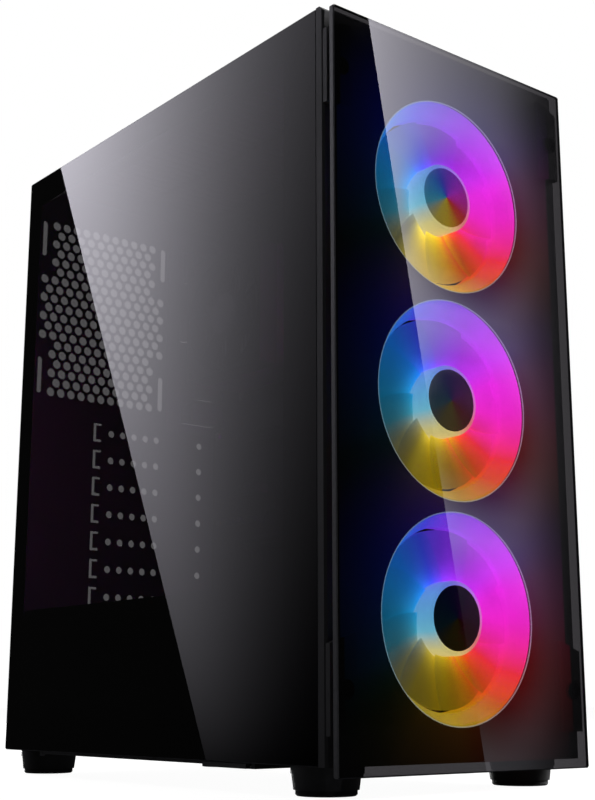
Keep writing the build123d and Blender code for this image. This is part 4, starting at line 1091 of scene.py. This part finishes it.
class TOWER_OT_filters(bpy.types.Operator):
    """Stretch the fine wire mesh across the roof filter and the floor filter."""

    bl_idname = "tower.filters"
    bl_label = "Filter mesh"

    def execute(self, context):
        settings = context.scene.tower_coats
        pitch, border, half = settings.mesh_pitch, 0.005, 0.00012
        wire_coat = finish("filter_wire")
        for node, body in (("top_filter", "roof_filter"), ("bottom_filter", "floor_filter")):
            low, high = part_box(node)
            z = (low.z + high.z) / 2
            for along, across in ((0, 1), (1, 0)):
                first, last = low[across] + border, high[across] - border
                count = int((last - first) / pitch)
                facing = [0.0, 0.0, 0.0]
                facing[along] = 1.0
                spots = []
                for index in range(count + 1):
                    place = [0.0, 0.0, z + (along - 0.5) * half]
                    place[along] = low[along] + border
                    place[across] = first + index * pitch
                    spots.append((tuple(place), tuple(facing)))
                length = high[along] - low[along] - 2 * border
                strand = box_shape((-half, -half, 0.0), (half, half, length))
                place_copies(f"{node}_mesh_{'xy'[along]}", strand, spots, body, wire_coat)
        return {"FINISHED"}


class TOWER_OT_board(bpy.types.Operator):
    """Fit the main board with its capacitors, coils, chips, headers and battery."""

    bl_idname = "tower.board"
    bl_label = "Board parts"

    def execute(self, context):
        low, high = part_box("motherboard")
        pin_pitch, edge_gap = 0.00254, 0.006
        can, chip = finish("capacitor_can"), finish("chip_case")
        coil, gold = finish("coil_case"), finish("gilt_pin")

        def row(from_rear, from_top, count=1, rear_step=0.0, top_step=0.0):
            """Places on the board's face, counted from its rear top corner."""
            return [(low.x, high.y - from_rear - step * rear_step, high.z - from_top - step * top_step)
                    for step in range(count)]

        cans = (row(0.040, 0.034, 7, rear_step=0.0105) + row(0.046, 0.132, 2, top_step=0.009)
                + row(0.018, 0.236, 5, rear_step=0.009) + row(0.150, 0.160, 4, top_step=0.010))
        coils = row(0.048, 0.048, 8, top_step=0.0095) + row(0.064, 0.024, 5, rear_step=0.0105)
        chips = []
        for from_rear, from_top in ((0.030, 0.190), (0.098, 0.205), (0.160, 0.222), (0.060, 0.262),
                                    (0.120, 0.262), (0.026, 0.270)):
            chips += row(from_rear, from_top)
        pins = []
        for start, count in ((0.030, 10), (0.070, 8), (0.105, 10), (0.150, 9)):
            for step in range(count):
                pins += row(start + step * pin_pitch, high.z - low.z - edge_gap, 2, top_step=pin_pitch)
        can_profile = ((0.0, 0.0), (0.0031, 0.0), (0.0031, 0.0012), (0.0028, 0.0016),
                       (0.0031, 0.0021), (0.0031, 0.0074), (0.0027, 0.0079), (0.0, 0.0079))
        cell_profile = ((0.0, 0.0), (0.0102, 0.0), (0.0105, 0.0006), (0.0105, 0.0026),
                        (0.0100, 0.0032), (0.0088, 0.0032), (0.0086, 0.0035), (0.0, 0.0035))
        for name, shape, places, material, slot in (
                ("board_capacitors", turned_part(can_profile, 20), cans, can, "bare_aluminium"),
                ("board_coils", square_part(0.0036, 0.0052, 0.0006), coils, coil, "circuit_board"),
                ("board_chips", square_part(0.0055, 0.0011, 0.0002), chips, chip, "circuit_board"),
                ("board_pins", square_part(0.00032, 0.0085, 0.0001), pins, gold, "circuit_board"),
                ("board_battery", turned_part(cell_profile, 48), row(0.118, 0.228), can,
                 "bare_aluminium")):
            place_copies(name, shape, [(place, FACING_BOARD) for place in places], "chassis", material)
        return {"FINISHED"}


class TOWER_OT_fans(bpy.types.Operator):
    """Make the lit front fans: rings, rotors and hub discs."""

    bl_idname = "tower.fans"
    bl_label = "Front fans"

    def execute(self, context):
        settings = context.scene.tower_fans
        for index, name in enumerate(FAN_NAMES):
            centre = middle(f"fan_frame_{name}")
            place = (centre.x, 0.0, centre.z)
            warmth = settings.warmth[index]
            milky = (0.1, 0.1, 0.1)
            rim = glow_material(f"lit_ring_{name}", place, settings.glow, milky, evenness=0.5,
                                warmth=1.2 * warmth)
            dress((f"fan_light_ring_{name}",), rim)
            hub = glow_material(f"lit_hub_{name}", place, settings.hub_glow, milky,
                                whiteness=settings.hub_whiteness)
            blade = glow_material(f"lit_blades_{name}", place, settings.glow, (0.04, 0.04, 0.04),
                                  evenness=1.0, warmth=warmth, hub_boost=(settings.hub_radius, 4.0))
            disc = glow_material(f"hub_disc_{name}", place, settings.glow * settings.disc_share[index],
                                 (0.004, 0.005, 0.02))
            rotor = make_rotor(name, centre, settings, (blade, hub, disc))
            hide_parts(f"fan_rotor_{name}")
            lip = glow_material(f"lit_lip_{name}", place, settings.glow * settings.lip_share,
                                (0.2, 0.2, 0.2), whiteness=0.5)
            make_lip(name, centre, lip, settings.opening_radius)
        return {"FINISHED"}


def make_rotor(name, centre, settings, materials):
    """One rotor: curved blades, a lit hub and the dark disc on its front."""
    low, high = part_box(f"fan_rotor_{name}")
    depth = high.y - low.y
    tip = span(f"fan_rotor_{name}").z / 2 - 0.0008
    hub = settings.hub_radius
    middle_y = low.y + 0.68 * depth
    blade_depth, half_thickness, root_overlap = 0.0065, 0.0006, 0.001
    blade_sweep, root_width, width_loss, blade_camber = 0.22, 57, 4, 0.0016
    steps_out, steps_along = 10, 8
    shape = bmesh.new()
    for blade in range(settings.blade_count):
        start = math.tau * blade / settings.blade_count
        layers = []
        for side in (-1, 1):
            grid = []
            for out in range(steps_out + 1):
                share = out / steps_out
                radius = hub - root_overlap + (tip - hub + root_overlap) * share
                sweep = start + blade_sweep * share
                width = math.radians(root_width - width_loss * share)
                row = []
                for along in range(steps_along + 1):
                    t = along / steps_along
                    angle = sweep + width * (t - 0.5)
                    pitch = (t - 0.5) * blade_depth
                    camber = blade_camber * math.sin(math.pi * t)
                    y = middle_y + pitch - camber + side * half_thickness
                    row.append(shape.verts.new((centre.x + radius * math.cos(angle), y,
                                                centre.z + radius * math.sin(angle))))
                grid.append(row)
            layers.append(grid)
        for grid in layers:
            skin_grid(shape, grid)
        border = ([(out, 0) for out in range(steps_out)]
                  + [(steps_out, along) for along in range(steps_along)]
                  + [(out, steps_along) for out in range(steps_out, 0, -1)]
                  + [(0, along) for along in range(steps_along, 0, -1)])
        for index, (out, along) in enumerate(border):
            next_out, next_along = border[(index + 1) % len(border)]
            shape.faces.new((layers[0][out][along], layers[0][next_out][next_along],
                             layers[1][next_out][next_along], layers[1][out][along]))
    bmesh.ops.recalc_face_normals(shape, faces=shape.faces)
    round_edge, wall = 0.0012, 0.0015
    profile = ((0.0, 0.0), (hub - round_edge, 0.0), (hub - 0.3 * round_edge, 0.3 * round_edge),
               (hub, round_edge), (hub, depth), (hub - wall, depth), (hub - wall, 0.002), (0.0, 0.002))
    cup = lathe(profile, Vector((centre.x, low.y, centre.z)), (0, 1, 0), closed=False)
    for face in cup.faces:
        face.material_index = 1
    merge_into(shape, cup)
    edge = settings.disc_radius
    disc_profile = ((0.0, -0.0005), (edge - 0.0006, -0.0005), (edge, -0.0001), (edge, 0.0004),
                    (0.0, 0.0004))
    disc = lathe(disc_profile, Vector((centre.x, low.y, centre.z)), (0, 1, 0), closed=False)
    for face in disc.faces:
        face.material_index = 2
    merge_into(shape, disc)
    return piece_from_bmesh(f"front_rotor_{name}", shape, f"front_fan_{name}", materials)


def make_lip(name, centre, material, radius):
    """The thin clear bead inside the bezel's opening, flush with its face."""
    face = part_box(f"fan_frame_{name}")[0].y - BEZEL_FACE
    bead, around = 0.00035, 8
    profile = [(radius - bead + bead * math.cos(turn), bead * math.sin(turn))
               for turn in (math.tau * step / around for step in range(around))]
    shape = lathe(profile, Vector((centre.x, face + bead, centre.z)), (0, 1, 0))
    piece_from_bmesh(f"ring_lip_{name}", shape, "chassis", (material,))


def merge_into(shape, extra):
    """Add one bmesh's faces to another."""
    mesh = bpy.data.meshes.new("scratch")
    extra.to_mesh(mesh)
    extra.free()
    shape.from_mesh(mesh)
    bpy.data.meshes.remove(mesh)


# ---------------------------------------------------------------- panel and registration
OPERATORS = (TOWER_OT_stage, TOWER_OT_steel, TOWER_OT_screws, TOWER_OT_filters, TOWER_OT_board,
             TOWER_OT_glass, TOWER_OT_fans)


class TOWER_PT_panel(bpy.types.Panel):
    """Lists the tower's operators and settings."""

    bl_idname = "TOWER_PT_panel"
    bl_label = "Desktop Tower"
    bl_space_type = "VIEW_3D"
    bl_region_type = "UI"
    bl_category = "Tower"

    def draw(self, context):
        layout = self.layout
        for operator in OPERATORS:
            layout.operator(operator.bl_idname)
        for name, kind in SETTINGS.items():
            box = layout.box()
            box.label(text=kind.__doc__)
            for key in kind.__annotations__:
                box.prop(getattr(context.scene, name), key)


def register():
    for kind in SETTINGS.values():
        bpy.utils.register_class(kind)
    for name, kind in SETTINGS.items():
        setattr(bpy.types.Scene, name, bpy.props.PointerProperty(type=kind))
    for operator in OPERATORS:
        bpy.utils.register_class(operator)
    bpy.utils.register_class(TOWER_PT_panel)


def unregister():
    bpy.utils.unregister_class(TOWER_PT_panel)
    for operator in reversed(OPERATORS):
        bpy.utils.unregister_class(operator)
    for name, kind in SETTINGS.items():
        delattr(bpy.types.Scene, name)
    for kind in SETTINGS.values():
        bpy.utils.unregister_class(kind)


def main():
    """Register and build every piece."""
    register()
    for operator in OPERATORS:
        category, name = operator.bl_idname.split(".")
        getattr(getattr(bpy.ops, category), name)()


if __name__ == "__main__":
    main()
